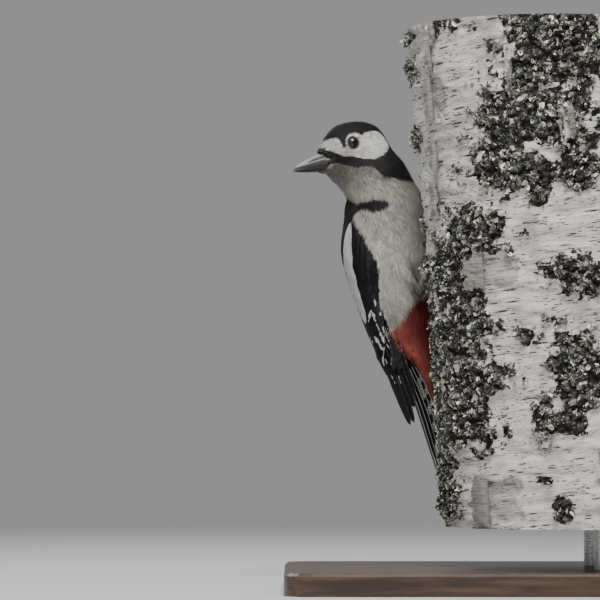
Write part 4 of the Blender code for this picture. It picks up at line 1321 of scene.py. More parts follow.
BILL_ROOT, BILL_TIP = 20.0, 47.7
BILL_HALF_WIDTH, BILL_ABOVE, BILL_BELOW = 4.7, 7.4, 4.4
BILL_LINE_ROOT, BILL_LINE_TIP = -4.8, -3.4
# Half profiles, (across, up) as parts of half width and height: the upper has a ridge along its side
UPPER_PROFILE = ((1.0, 0.0), (1.0, 0.14), (0.93, 0.30), (0.84, 0.46), (0.80, 0.52), (0.66, 0.66),
                 (0.44, 0.83), (0.22, 0.955), (0.09, 0.995), (0.0, 1.0))
LOWER_PROFILE = ((0.97, 0.0), (0.97, 0.16), (0.90, 0.38), (0.74, 0.62), (0.52, 0.82), (0.28, 0.95),
                 (0.10, 0.995), (0.0, 1.0))
BILL_SEAM = 0.14  # half of the line between the two halves of the bill


def bill_slim(t):
    """How the bill narrows from 1 at its root to its blunt, chisel tip."""
    return np.maximum(1 - np.asarray(t, float), 0.012) ** 0.57


def bill_wear_light_and_shade(t, up, upper):
    """Paleness from wear and painted light, 0 to 1, at t along the bill and at heights up of its profile."""
    if upper:
        low = mix(0.78, 0.52, step(0.50, 0.72, t))
        # painted highlight along the side ridge, and painted light on the top band above it
        ridge = np.exp(-((up - 0.52) / 0.06) ** 2) * 0.85 * step(0.93, 0.7, t)
        wear_light_and_shade = ridge + step(low, low + 0.10, up) * 0.9 * step(0.97, 0.84, t)
    else:
        # paler towards the lower half's underside near its root
        wear_light_and_shade = 0.34 * step(0.55, 0.10, t) * up
    return np.clip(wear_light_and_shade + step(0.975, 1.0, t) * 0.4, 0, 1)


def bill_half(name, upper, material):
    """One half of the bill, lofted from root to a chisel tip."""
    profile = np.array(UPPER_PROFILE if upper else LOWER_PROFILE)
    side, up = np.vstack([profile * (-1, 1), profile[-2::-1]]).T
    sign, height = (1, BILL_ABOVE) if upper else (-1, BILL_BELOW)
    rings, wear_light_and_shade, flat = [], [], []
    for t in 1 - np.linspace(1, 0, 44) ** 1.5:
        slim = bill_slim(t)
        half = BILL_HALF_WIDTH * slim * mix(1.0, 0.72, t)
        rounding = 1 - 0.25 * step(0.985, 1.0, t)
        level = mix(BILL_LINE_ROOT, BILL_LINE_TIP, t) + sign * (BILL_SEAM + up * (height * slim) * rounding)
        nostril = np.exp(-((t - 0.16) / 0.07) ** 2 - ((up - 0.62) / 0.12) ** 2) if upper else 0.0
        across = side * half * rounding * (1 - 0.16 * nostril)
        rings.append(in_head(mix(BILL_ROOT, BILL_TIP, t), across, level))
        wear_light_and_shade.append(bill_wear_light_and_shade(t, up, upper))
        flat.append(np.stack(np.broadcast_arrays(t * (BILL_TIP - BILL_ROOT), side * half + up * 3), -1))
    faces = flipped(tube_faces(len(rings), len(up)), not upper)
    obj = build(name, np.vstack(rings), faces, material, extra={"Mark": np.concatenate(wear_light_and_shade)},
                maps={"Along": np.vstack(flat)})
    obj.data.set_sharp_from_angle(angle=math.radians(34))
    return obj


def make_bill(material):
    finish(bill_half("bill_upper_horn", True, material), "bill", "bill_upper")
    finish(bill_half("bill_lower_horn", False, material), "bill", "bill_lower")


def make_gape(surface, side, word, material):
    """The bare corner of the bill: on the head at its back, and on the jaw's own line further forward."""
    rows, columns = 14, 30
    f = np.linspace(GAPE_CORNER, GAPE_FRONT, columns)[None] + np.zeros((rows, 1))
    k = np.linspace(0, 1, rows)[:, None]
    u = mix(gape_bottom(f), GAPE_TOP, k)
    spot, normal = surface.nearest(in_head(f, side * 8.0, u).reshape(-1, 3))
    rise = 0.6 * np.sin(math.pi * np.clip(k, 0.06, 0.94)) ** 0.5 * step(-0.2, 2.6, f - GAPE_CORNER)
    over_skin = np.abs(head_coordinates(spot + normal * rise.reshape(-1, 1))[1]).reshape(f.shape)
    ahead = (f - GAPE_CORNER) / (GAPE_FRONT - GAPE_CORNER)
    jaw = mix(7.1, 3.6, ahead) - 0.8 * (2 * k - 1) ** 4 - 1.4 * ahead * k ** 1.5 - 1.5 * step(0.5, 0.0, k)
    across = mix(over_skin, jaw, step(GAPE_CORNER + 0.8, GAPE_CORNER + 3.0, f))
    points = np.vstack([in_head(f, side * (across - depth), u).reshape(-1, 3) for depth in (0.0, 0.9)])
    # Mark: a painted highlight along the gape's ridge, and painted shade over the rest, deepest at its corner
    ridge = np.exp(-((k - 0.84) / 0.06) ** 2) * step(GAPE_CORNER + 0.8, GAPE_FRONT - 1.5, f)
    wear_light_and_shade = np.tile((ridge - 0.55 - 0.6 * step(GAPE_CORNER + 4.0, GAPE_CORNER + 0.5, f)).ravel(), 2)
    flat = np.tile(np.stack([f - BILL_ROOT, u], -1).reshape(-1, 2), (2, 1))
    faces = flipped(sheet_faces(rows, columns), side > 0)
    obj = build("bill_gape_" + word, points, faces, material, extra={"Mark": wear_light_and_shade}, maps={"Along": flat})
    return finish(obj, "bill")


def eye_frame(side):
    """The eye's middle, its axis, and two directions across it."""
    centre = in_head(EYE[0], side * EYE[1], EYE[2] - LID_DROP)
    axis = unit(LEFT * side + FORWARD * 0.22 + UP * 0.05)
    upward = unit(UP - axis * (UP @ axis))
    return centre, axis, np.cross(upward, axis), upward


def make_eye(side, word, material):
    """A ball with a bulging cornea, its rings measured as degrees from the axis."""
    rows, columns = 60, 56
    centre, axis, across, upward = eye_frame(side)
    rings = np.radians(np.linspace(0.5, 179.5, rows))[:, None]
    turns = np.linspace(0, 2 * math.pi, columns, endpoint=False)[None]
    bulge = EYE_RADIUS - 0.05 + 0.30 * np.exp(-(rings / math.radians(34)) ** 2)
    ring = across * np.cos(turns)[..., None] + upward * np.sin(turns)[..., None]
    ball = (axis * np.cos(rings)[..., None] + ring * np.sin(rings)[..., None]) * bulge[..., None]
    angle = np.broadcast_to(np.degrees(rings), (rows, columns))
    flat = np.stack(np.broadcast_arrays(np.degrees(turns) * 0.1, np.degrees(rings) * 0.1), -1).reshape(-1, 2)
    obj = build("eye_%s_ball" % word, centre + ball.reshape(-1, 3), tube_faces(rows, columns), material,
                extra={"Ring": angle}, maps={"Along": flat})
    return finish(obj, "eye", "eye_" + word)


# The lids' section from the ball outwards: (distance from the eye's axis, height over the ball)
LID_SECTION = (
    (2.86, -0.35), (2.83, 0.02), (2.92, 0.22), (3.08, 0.27), (3.26, 0.18), (3.44, -0.10), (3.8, -0.7),
)
LID_BEADS = 24


def make_lids(side, word, material):
    """A beaded rim round the eye, a little wider than tall, sinking away under the feathers."""
    centre, axis, across, upward = eye_frame(side)
    columns = 3 * LID_BEADS
    turns = np.linspace(0, 2 * math.pi, columns, endpoint=False)
    rows = []
    for out, over in LID_SECTION:
        bead = 0.05 * np.cos(turns * LID_BEADS) * (0.1 < over)
        long = out * (1 + 0.055 * np.cos(turns) ** 2 + 0.05 * np.clip(-np.cos(turns), 0, 1) ** 6)
        ball = np.sqrt(np.maximum(EYE_RADIUS ** 2 - np.minimum(long, 4.2) ** 2, 0)) + over + bead
        ring = across * np.cos(turns)[:, None] + upward * (np.sin(turns) * 0.95)[:, None]
        rows.append(centre + ring * long[:, None] + axis * ball[:, None])
    back = centre + (rows[-1] - centre) * 0.93 - axis * 0.3
    inner = centre + (rows[0] - centre) * 0.97 - axis * 0.25
    rows += [back, inner]
    first = np.arange(columns)
    last = first + (len(rows) - 1) * columns
    join = np.stack([last, np.roll(last, -1), np.roll(first, -1), first], -1)
    faces = [grid_faces(len(rows), columns, closed=True), join]
    return finish(build("eyelids_" + word, np.vstack(rows), faces, material), "leg_scales")


def on_bill(t, turn, side, upper, lift):
    """Points by the bill, and the way out of it: t from root to tip, turn from its ridge to the bill line."""
    slim = bill_slim(t)
    angle = np.asarray(turn) * math.pi / 2
    sign, height = (1, BILL_ABOVE) if upper else (-1, BILL_BELOW)
    across = side * (BILL_HALF_WIDTH * slim + lift) * np.sin(angle)
    up = mix(BILL_LINE_ROOT, BILL_LINE_TIP, t) + sign * (height * slim + lift) * np.cos(angle)
    out = LEFT * (side * np.sin(angle))[..., None] + UP * (sign * np.cos(angle))[..., None]
    return in_head(mix(BILL_ROOT, BILL_TIP, t), across, up), unit(out + FORWARD * 0.15)


def make_chin(material):
    """Pale feathers that cover the root of the lower bill."""
    count = 1500
    side = rng.choice((-1, 1), count)
    turn = rng.uniform(0.0, 1.0, count)
    front = mix(0.42, 0.15, turn ** 0.9)
    start = front - rng.uniform(0, 1, count) ** 1.3 * 0.36
    reach = rng.uniform(0.12, 0.17, count)
    spine, facing = spines(lambda k, lift: on_bill(start - reach * k, turn, side, False, lift),
                           ((0.0, -0.15), (0.5, 0.5), (1.0, 1.2)))
    tufts = Tufts(spine, facing, 0.62, 0.30, 7, 0.6)
    # less of the throat's painted shade here on the chin
    tufts.tint = tufts.tint * 1.7
    return tufts.make("coat_chin", material, "plumage_buff")


def make_nasal_tufts(material):
    """Dark bristly feathers that point forward over the nostrils."""
    count = 620
    side = rng.choice((-1, 1), count)
    turn = rng.uniform(0.03, 0.70, count)
    front = mix(0.34, 0.19, step(0.1, 0.7, turn)) - 0.06 * rng.random(count)
    start = front - rng.uniform(0.14, 0.36, count)
    spine, facing = spines(lambda k, lift: on_bill(mix(start, front, k), turn - 0.10 * k, side, True, lift),
                           ((0.0, 0.4), (0.55, 1.9), (1.0, 0.7)))
    tufts = Tufts(spine, facing, 0.52, 0.28, 6, 0.9)
    pale = rng.uniform(0.8, 10.0, tufts.tint.shape[:2])[..., None, None]
    tufts.tint = np.ones_like(tufts.tint) * SOFT_BLACK * pale
    return tufts.make("nasal_tufts", material, "plumage_black")


# Legs: each foot holds the bark either side of the bird's bearing, as in the solids

FOOT_BEARING, FOOT_SPREAD, FOOT_Z = math.radians(37.0), math.radians(12.0), 181.0
HEEL_DROP, HEEL_LIFT = 17.0, 12.5
TARSUS_RADIUS, TOE_RADIUS = 1.5, 1.25
TOES = ((-3.5, 15.5), (3.5, 17.5), (14.0, 5.5), (6.5, -9.0))  # (outward, upward) over the bark
CLAW_LENGTH, CLAW_RADIUS = 7.0, 0.95
SWELL_BEARING, SWELL_Z, SWELL_HEIGHT = math.radians(15.0), 57.0, 2.0


def log_axis(z):
    """The middle of the leaning log at a height."""
    z = np.asarray(z, float)
    return np.stack([LOG_AXIS_X + LOG_LEAN * z, np.full_like(z, LOG_AXIS_Y), z], -1)


def oval_distance(oval, bearing, z):
    """0 at the middle of an oval on the bark, 1 at its edge."""
    degrees, height, half_width, half_height = oval
    turn = (np.degrees(bearing) - degrees + 180) % 360 - 180
    return np.hypot(turn / half_width, (z - height) / half_height)


def bark_relief(bearing, z):
    """Height of the broken bark's raised patches over the log's round."""
    broken = np.max([step(1.3, 0.7, oval_distance(oval, bearing, z)) for oval in RAISED_BARK], axis=0)
    return BARK_RELIEF * broken * step(1.0, 1.35, oval_distance(BIRD_HOLD, bearing, z))


def log_radius(bearing, z):
    """The log's uneven round, with one swelling and the patches of raised bark."""
    bulge = np.exp(-((bearing - SWELL_BEARING) * LOG_RADIUS / 11) ** 2 - ((z - SWELL_Z) / 13) ** 2)
    waves = 0.7 * np.cos(3 * bearing + z / 60) + 0.4 * np.cos(7 * bearing - z / 35)
    return LOG_RADIUS + waves + SWELL_HEIGHT * bulge + bark_relief(bearing, z)


def log_out(bearing):
    """Level directions out of the log."""
    bearing = np.asarray(bearing, float)
    return np.stack([-np.cos(bearing), np.sin(bearing), np.zeros_like(bearing)], -1)


def log_point(bearing, z, lift=0.0):
    """On the bark. Bearing 0 is the -X side, and it grows towards +Y."""
    bearing, z, lift = np.broadcast_arrays(*[np.asarray(v, float) for v in (bearing, z, lift)])
    return log_axis(z) + log_out(bearing) * (log_radius(bearing, z) + lift)[..., None]


def foot_place(side, outward, upward, lift):
    """A place by a foot: outward and upward over the bark from the ankle, and lift off it."""
    bearing = FOOT_BEARING - side * (FOOT_SPREAD + outward / LOG_RADIUS)
    return log_point(bearing, FOOT_Z + upward, lift)


def curve_through(knots, count):
    """Catmull-Rom points through the knots."""
    knots = np.array(knots, float)
    padded = np.vstack([2 * knots[0] - knots[1], knots, 2 * knots[-1] - knots[-2]])
    t = np.linspace(0, len(knots) - 1, count)
    i = np.minimum(t.astype(int), len(knots) - 2)
    f = (t - i)[:, None]
    p0, p1, p2, p3 = (padded[i + k] for k in range(4))
    return 0.5 * (2 * p1 + (p2 - p0) * f + (2 * p0 - 5 * p1 + 4 * p2 - p3) * f ** 2
                  + (3 * p1 - p0 - 3 * p2 + p3) * f ** 3)


class Tubes:
    """Closed tubes gathered into one mesh.

    scutes is how many scales overlap along a tube's front; the mark is 0 in the joints between them.
    """

    def __init__(self):
        self.points, self.faces, self.mark, self.count = [], [], [], 0

    def add(self, knots, radii, up, rows=40, sides=18, scutes=0, flat=1.0):
        line = curve_through(knots, rows)
        t = np.linspace(0, 1, rows)
        radius = np.interp(t, np.linspace(0, 1, len(radii)), radii)[:, None]
        ahead = unit(np.gradient(line, axis=0))
        across = unit(np.cross(ahead, up))
        above = np.cross(across, ahead)
        turns = np.linspace(0, 2 * math.pi, sides, endpoint=False)[None]
        ridge = np.ones((rows, sides))
        joint = np.ones((rows, sides))
        if scutes:
            saw = ((t * scutes) % 1.0)[:, None]
            front = np.clip(np.cos(turns - math.pi / 2) * 1.4, 0, 1)
            ridge = 1 + 0.10 * (saw - 0.6) * front
            joint = 1 - np.exp(-(np.minimum(saw, 1 - saw) / 0.10) ** 2) * (0.3 + 0.7 * front)
        size = radius * ridge
        ring = across[:, None] * (np.cos(turns) * size)[..., None] * flat
        ring = ring + above[:, None] * (np.sin(turns) * size)[..., None]
        self.points.append((line[:, None] + ring).reshape(-1, 3))
        self.mark.append(joint.ravel())
        self.faces.append(tube_faces(rows, sides, self.count))
        self.count += rows * sides

    def make(self, name, material, slot, *nodes):
        quads = np.vstack([faces[0] for faces in self.faces])
        caps = [cap for faces in self.faces for cap in faces[1:]]
        points, mark = np.vstack(self.points), np.concatenate(self.mark)
        return finish(build(name, points, [quads] + caps, material, extra={"Mark": mark}), slot, *nodes)


# Along a toe: (part of its length, height of its middle over the bark), and its pads' radii from ankle to tip
TOE_PATH = ((-0.02, 1.0), (0.25, 0.9), (0.5, 0.85), (0.8, 0.5), (1.0, 0.55))
TOE_PADS = np.array([1.25, 1.0, 1.16, 0.95, 1.12, 0.92, 1.10, 0.86]) * TOE_RADIUS
# Along a claw beyond its toe: (part of its length, height over the bark), the last in the bark
CLAW_PATH = ((0.18, CLAW_RADIUS + 1.35), (0.4, CLAW_RADIUS + 1.75), (0.65, CLAW_RADIUS + 1.25), (0.85, 0.75),
             (0.93, -0.1))


def heel_place(side):
    return foot_place(side, -1.5, -HEEL_DROP, HEEL_LIFT)


def make_leg(side, word, scales, horn):
    """The tarsus from heel to ankle, four scaled toes and their hooked claws."""
    skin, claws = Tubes(), Tubes()
    heel, ankle = heel_place(side), foot_place(side, 0, 0, TARSUS_RADIUS + 1.0)
    out = log_out(FOOT_BEARING - side * FOOT_SPREAD)
    shin = [heel * 0.66 + ankle * 0.34 + ALONG * 0.4, heel * 0.3 + ankle * 0.7 + ALONG * 0.4]
    skin.add([heel, *shin, ankle], (1.95, 1.6, 1.4, 1.42, 1.5, 1.85), out + [0, 0, 0.4], rows=90, scutes=13)
    for outward, upward in TOES:
        reach = math.hypot(outward, upward)
        path = [foot_place(side, outward * k, upward * k, TOE_RADIUS + lift) for k, lift in TOE_PATH]
        skin.add(path, TOE_PADS, out, rows=70, scutes=round(reach / 1.05))
        hook = [(1 - 0.6 / reach, 1.5)] + [(1 + CLAW_LENGTH * k / reach, rise) for k, rise in CLAW_PATH]
        path = [foot_place(side, outward * k, upward * k, rise) for k, rise in hook]
        claws.add(path, (1.05, 1.0, 0.86, 0.62, 0.36, 0.10), out, rows=30, sides=14, flat=0.62)
    skin.make("foot_%s_scales" % word, scales, "leg_scales", "foot_" + word)
    claws.make("claws_" + word, horn, "claw", *["claw_%s_%d" % (word, i + 1) for i in range(4)])


def make_leg_feathers(side, word, material):
    """Short loose feathers of the thigh, that come down over the heel, in buff darkened with painted shade.
    """
    heel, out = heel_place(side), log_out(FOOT_BEARING - side * FOOT_SPREAD)
    count = 260
    rise = np.array([0.0, 0.0, 1.0])
    turns = rng.uniform(0, 2 * math.pi, count)
    across = np.cross(out, rise)
    along = unit(rise * 0.75 + out * 0.65)
    beside = np.cross(along, across)
    ring = across * np.cos(turns)[:, None] + beside * np.sin(turns)[:, None]
    start = rng.uniform(-0.5, 3.6, (count, 1))
    spine, facing = spines(lambda k, wide: (heel + along * (start - k * 5.0 + 0.8) + ring * wide, ring),
                           ((0.0, 1.2), (0.5, 2.4), (1.0, 1.9)))
    tufts = Tufts(spine, facing, 1.0, 0.9, 8, 1.4)
    # the belly's buff, darkened with painted shade as they lie between the belly and the trunk
    tufts.tint = np.ones_like(tufts.tint) * BUFF * rng.uniform(0.16, 0.50, (*tufts.tint.shape[:2], 1, 1))
    return tufts.make("coat_leg_" + word, material, "plumage_buff")


# Birch

# Smaller broken spots, without relief in the solids, in the same four values
SMALL_BREAKS = (
    (-77, 208, 4, 6), (-40, 302, 8, 6), (-81, 143, 4, 3), (-69, 134, 5, 3.5), (-72, 91, 5.5, 9),
    (-83, 90, 6, 8), (-77, 44, 4, 6), (-8, 112, 8, 44), (-93, 222, 10, 10), (-70, 60, 3, 2),
    (95, 170, 6, 16), (-110, 150, 5, 9), (-118, 108, 6, 5), (100, 60, 8, 12), (-160, 262, 8, 10),
)
# Smooth inner bark that folded sheets have left, in the same four values
BARE_BARK = ((-58.0, 168.5, 8.0, 8.0), (-50.5, 48.5, 8.0, 11.5), (-32.0, 263.0, 4.5, 11.0))


def brokenness(bearing, z, rough):
    """0 on whole bark to 1 where it is broken, with a ragged border."""
    total = np.zeros_like(z)
    for oval in RAISED_BARK + SMALL_BREAKS:
        total = np.maximum(total, step(1.35, 0.65, oval_distance(oval, bearing, z) + 0.5 * rough))
    return total * step(0.95, 1.2, oval_distance(BIRD_HOLD, bearing, z))


def plate_height(points, size, seed):
    """0 in the cracks between crusty plates, 1 on the plates."""
    places = points / np.asarray(size, float) + seed
    gaps = np.empty(len(places))
    for i, place in enumerate(places):
        near_two = noise.voronoi(Vector(place))[0]
        gaps[i] = near_two[1] - near_two[0]
    return step(0.02, 0.34, gaps)


def bare_bark(patch, bearing, z, rough):
    """1 where a sheet has come off the bark, 0 beyond its torn border."""
    degrees, height, half_width, half_height = patch
    across, up = np.abs(np.degrees(bearing) - degrees) / half_width, (z - height) / half_height
    return step(1.08, 0.94, (across ** 4 + up ** 4) ** 0.25 + 0.30 * rough)


class Bark:
    """The trunk's surface as a grid over bearing and height."""

    def __init__(self):
        self.columns, self.rows = ((340, 282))
        bearings = np.linspace(-math.pi, math.pi, self.columns, endpoint=False)
        self.heights = np.linspace(LOG_FOOT + 0.2, LOG_TOP - 0.2, self.rows)
        self.z, self.bearing = np.meshgrid(self.heights, bearings, indexing="ij")
        self.even = log_point(self.bearing, self.z).reshape(-1, 3)
        rough = self.wander(9.0, 3.0, 4) + 0.35 * self.wander(2.6, 8.0, 2)
        self.broken = brokenness(self.bearing, self.z, rough * 1.3)
        self.height = self.crust()
        patches = [bare_bark(patch, self.bearing, self.z, rough) for patch in BARE_BARK]
        self.bare = np.max(patches, axis=0) * (1 - self.broken)
        lumps = -2.3 + 3.5 * self.height + 0.7 * (BARK_RELIEF - bark_relief(self.bearing, self.z))
        self.lift = mix(self.paper() - 0.3, lumps, self.broken) - self.bare
        self.points = log_point(self.bearing, self.z, self.lift)

    def wander(self, size, seed, octaves=1):
        return wander(self.even, size, seed, octaves).reshape(self.z.shape)

    def crust(self):
        """Height of the plates where the bark is broken, 0 to 1."""
        torn = self.broken.ravel() > 0.01
        places = self.even[torn]
        warped = places + 1.6 * wander(places, 3.0, 15.0)[:, None]
        coarse = plate_height(warped, (5.0, 5.0, 7.5), 9.0)
        small = plate_height(warped, (2.2, 2.2, 2.6), 4.0)
        crust = np.zeros(len(self.even))
        crust[torn] = 0.50 * coarse + 0.30 * small * coarse + 0.2 * (0.5 + wander(places, 1.7, 5.0, 2))
        return np.clip(crust, 0, 1).reshape(self.z.shape)

    def paper(self):
        """Millimetres that whole bark stands up, in the shallow steps of its layers."""
        sheet = self.wander((26.0, 26.0, 7.0), 21.0, 2) * 3.2
        layers = np.floor(sheet) + step(0.80, 1.0, sheet % 1.0)
        return 0.35 * self.wander(30.0, 31.0) + 0.42 * layers

    def lift_at(self, bearing, z):
        """Lift, brokenness and height of crust at places, from the grid's points beside them."""
        row = (z - self.heights[0]) / (self.heights[1] - self.heights[0])
        row = np.clip(row, 0, self.rows - 1).astype(int)
        column = ((bearing + math.pi) / (2 * math.pi) * self.columns).astype(int) % self.columns
        return self.lift[row, column], self.broken[row, column], self.height[row, column]

    def make(self, material):
        """The trunk; its map is the bark rolled out flat, in millimetres, and runs on across the seam."""
        roll = np.stack([self.bearing * LOG_RADIUS, self.z], -1).reshape(-1, 2)
        faces = grid_faces(self.rows, self.columns, closed=True)[:, ::-1]
        extra = {"Broken": self.broken, "Height": self.height, "Bare": self.bare}
        points = self.points.reshape(-1, 3)
        obj = build("birch_trunk", points, [faces], material, extra=extra, maps={"Bark": roll})
        corners = roll[faces]
        across = corners[..., 0]
        wrapped = (np.ptp(across, axis=1) > LOG_RADIUS)[:, None]
        corners[..., 0] += np.where(wrapped & (across < 0), 2 * math.pi * LOG_RADIUS, 0)
        obj.data.uv_layers["Bark"].data.foreach_set("uv", corners.astype(np.float32).ravel())
        return finish(obj, "bark", "perch_log")

    def make_ends(self, wood):
        """Sawn ends: a disc of rings out to the bark, a little rippled by the saw."""
        rings = 40
        ends = (("birch_end_top", -1, LOG_TOP, 1), ("birch_end_foot", 0, LOG_FOOT, -1))
        for name, row, height, sign in ends:
            rim, middle = self.points[row], log_axis(height)
            parts = np.linspace(1.0, 0.02, rings)[:, None, None]
            disc = middle + (rim - middle) * parts
            ripple = 0.10 * np.sin(disc[..., 0] * 1.9 + 0.3 * disc[..., 1]) * (parts[..., 0] < 0.97)
            disc[..., 2] = np.where(parts[..., 0] < 1, height - sign * 0.1 + sign * ripple, rim[..., 2])
            points = np.vstack([disc.reshape(-1, 3), [middle]])
            fan = fan_faces(self.columns, (rings - 1) * self.columns, len(points) - 1)
            faces = flipped([grid_faces(rings, self.columns, closed=True), fan], sign < 0)
            finish(build(name, points, faces, wood, maps={"Bark": (points - middle)[:, :2]}), "bark")


# Loose bark: (bearing in degrees of the attached edge, height, flat width, sheet height, roll radius, turns,
# side, length folded back beyond the roll); side -1 rolls on towards smaller bearings
PEELS = (
    (-50.0, 168.5, 1.0, 17, 1.5, 0.48, -1, 9.0), (-42.5, 47, 1.0, 23, 2.3, 0.50, -1, 6.5),
    (-32.0, 297, 3.0, 10, 1.6, 0.6, -1, 0.0), (-29.0, 282, 2.0, 15, 1.4, 0.7, -1, 0.0),
    (-27.5, 262, 1.0, 22, 1.7, 0.48, -1, 2.0), (-27.0, 232, 1.0, 17, 1.5, 0.50, -1, 3.0),
    (-25.0, 209, 1.0, 18, 1.2, 0.47, -1, 3.0), (-68.0, 271, 3.0, 16, 1.3, 0.5, -1, 0.0),
    (-66.0, 80, 10.0, 8, 0.9, 0.4, -1, 0.0), (-88.0, 246, 6.0, 20, 1.8, 0.6, -1, 0.0),
    (-90.0, 68, 4.0, 18, 1.4, 0.6, -1, 0.0), (-120, 90, 6.0, 18, 2.2, 0.8, -1, 0.0),
    (150, 160, 6.0, 26, 2.4, 0.9, 1, 0.0), (100, 80, 5.0, 18, 1.8, 0.8, 1, 0.0),
    (85, 235, 5.0, 24, 2.2, 0.9, 1, 0.0), (-160, 60, 5.0, 16, 1.9, 0.8, 1, 0.0),
    (178, 270, 5.0, 14, 1.8, 0.8, -1, 0.0), (-150, 275, 4.0, 20, 1.6, 0.7, -1, 0.0),
)
PEEL_THICKNESS = 0.3
FREE_ROLL = 9.0  # more than any sheet without a folded part turns, in radians


def peel_sheet(bark, peel, rows, columns):
    """Outer points of a sheet that leaves the trunk and rolls up, and their places on the bark's map."""
    degrees, height, wide, tall, radius, turns, side, page = peel
    u, v = np.meshgrid(np.linspace(0, 1, columns), np.linspace(-0.5, 0.5, rows))

    def waver(*places):
        return wander(np.stack(np.broadcast_arrays(*places), -1).reshape(-1, 3), 1.0, 0.0, 3).reshape(v.shape)

    ends = np.abs(2 * v) ** 3 * (0.25 if page else 1.0)
    torn = 1 + 0.30 * waver(v * 5, degrees, 0.0) - 0.45 * ends
    cone = radius * (1 + 0.5 * v * np.sin(degrees) - 0.55 * ends)
    run = u * ((wide + turns * 2 * math.pi * radius + page) * torn)
    angle = np.clip((run - wide) / cone, 0, turns * 2 * math.pi if page else FREE_ROLL)
    beyond = np.maximum(run - wide - angle * cone, 0)
    tight = cone * (1 - 0.10 * angle / math.pi)
    across = np.minimum(run, wide) + tight * np.sin(angle) + beyond * np.cos(angle)
    out = 0.35 + tight * (1 - np.cos(angle)) + beyond * np.sin(angle)
    out = out + 0.5 * step(0.0, wide, run) * step(-0.1, 0.25, np.abs(v))
    bearing = math.radians(degrees) + side * across / LOG_RADIUS
    ragged = waver(u * 7, height, v * 2)
    z = height + v * tall * (1 - 0.25 * u * np.cos(height) + 0.22 * ragged) + 0.12 * across
    z = np.clip(z, LOG_FOOT + 0.5, LOG_TOP - 0.5)
    ground = bark.lift_at(bearing, z)[0]
    base = np.where(run < wide * 0.4, ground, np.clip(ground, -0.2, 0.5))
    return log_point(bearing, z, base + out), np.stack([degrees * 1.3 + run, z], -1)


def sheet_normals(grid):
    """Normals of a rolled sheet on the side that faces away from the trunk where it is still flat."""
    normal = unit(np.cross(np.gradient(grid, axis=0), np.gradient(grid, axis=1)))
    away = grid - log_axis(grid[..., 2])
    flat = np.sign(np.sum(normal[:, :1] * away[:, :1], axis=-1, keepdims=True))
    return normal * flat


def make_peels(bark, material):
    """Sheets of outer bark, still held along one edge, whose loose edge rolls up and back on itself."""
    rows, columns = 26, 34
    size = rows * columns
    points, faces, flat = [], [], []
    for number, peel in enumerate(PEELS):
        upper, places = peel_sheet(bark, peel, rows, columns)
        lower = upper - sheet_normals(upper) * PEEL_THICKNESS
        points += [upper.reshape(-1, 3), lower.reshape(-1, 3)]
        flat += [places.reshape(-1, 2)] * 2
        side = peel[6]
        faces += flipped(sheet_faces(rows, columns, 2 * size * number), side > 0)
    mark = np.tile(np.repeat([0.0, 1.0], size), len(PEELS))
    obj = build("bark_peels", np.vstack(points), [np.vstack(faces)], material, extra={"Mark": mark},
                maps={"Bark": np.vstack(flat)})
    obj.data.set_sharp_from_angle(angle=math.radians(50))
    return finish(obj, "bark")


# Lichen tufts that stand out on the bird's side of the trunk: (height, half height, reach, share)
EDGE_TUFTS = (
    (297, 5, 3.5, 1.0), (280, 8, 5.0, 1.6), (243, 8, 5.5, 1.4), (197, 7, 2.8, 0.6), (173, 8, 6.5, 1.3),
    (136, 3, 3.0, 0.5), (112, 14, 2.2, 1.0), (86, 12, 2.2, 1.0), (62, 8, 3.0, 0.9), (46, 7, 5.0, 1.3),
)
BRANCH_STEP = 0.42
# Tints of flakes, and the share of each in the crust and in the tufts
LICHEN_TONES = np.array([
    (0.36, 0.36, 0.315),
    (0.21, 0.212, 0.18),
    (0.60, 0.60, 0.535),
    (0.085, 0.08, 0.064),
    (0.03, 0.027, 0.022),
])
CRUST_SHARES = (0.30, 0.24, 0.18, 0.17, 0.11)
TUFT_SHARES = (0.26, 0.26, 0.18, 0.18, 0.12)
LOBES = 6


def flakes(middles, normals, sizes, tones, cup):
    """Lobed, cupped flakes: two rings of points and a middle for each, with their tints and faces."""
    count = len(middles)
    turns = np.linspace(0, 2 * math.pi, LOBES, endpoint=False)[None] + rng.uniform(0, 0.7, (count, 1))
    rim = rng.uniform(0.28, 1.25, (count, LOBES))
    long = rng.uniform(0.55, 1.0, (count, 1))
    across = unit(np.cross(normals, rng.normal(0, 1, (count, 3))))
    other = np.cross(normals, across)
    outer = cup + rng.uniform(-0.45, 0.45, (count, LOBES))
    inner = rng.uniform(-0.1, 0.2, (count, LOBES))
    rings = []
    for part, rise in ((1.0, outer), (0.45, inner)):
        x, y = np.cos(turns) * rim * part / long, np.sin(turns) * rim * part * long
        ring = across[:, None] * x[..., None] + other[:, None] * y[..., None]
        ring = ring + normals[:, None] * rise[..., None]
        rings.append(middles[:, None] + ring * sizes[:, None, None])
    points = np.concatenate(rings + [middles[:, None]], 1)
    # painted light on the rims of the lobes, and painted shade in the cup at each flake's middle
    shade = np.repeat([1.45, 0.75, 0.4], [LOBES, LOBES, 1])
    tint = tones[:, None] * shade[None, :, None]
    starts = (np.arange(count) * (2 * LOBES + 1))[:, None, None]
    quads = (starts + grid_faces(2, LOBES, closed=True)).reshape(-1, 4)
    fans = (starts + fan_faces(LOBES, LOBES, 2 * LOBES)).reshape(-1, 3)
    return points.reshape(-1, 3), tint.reshape(-1, 3), [quads, fans]


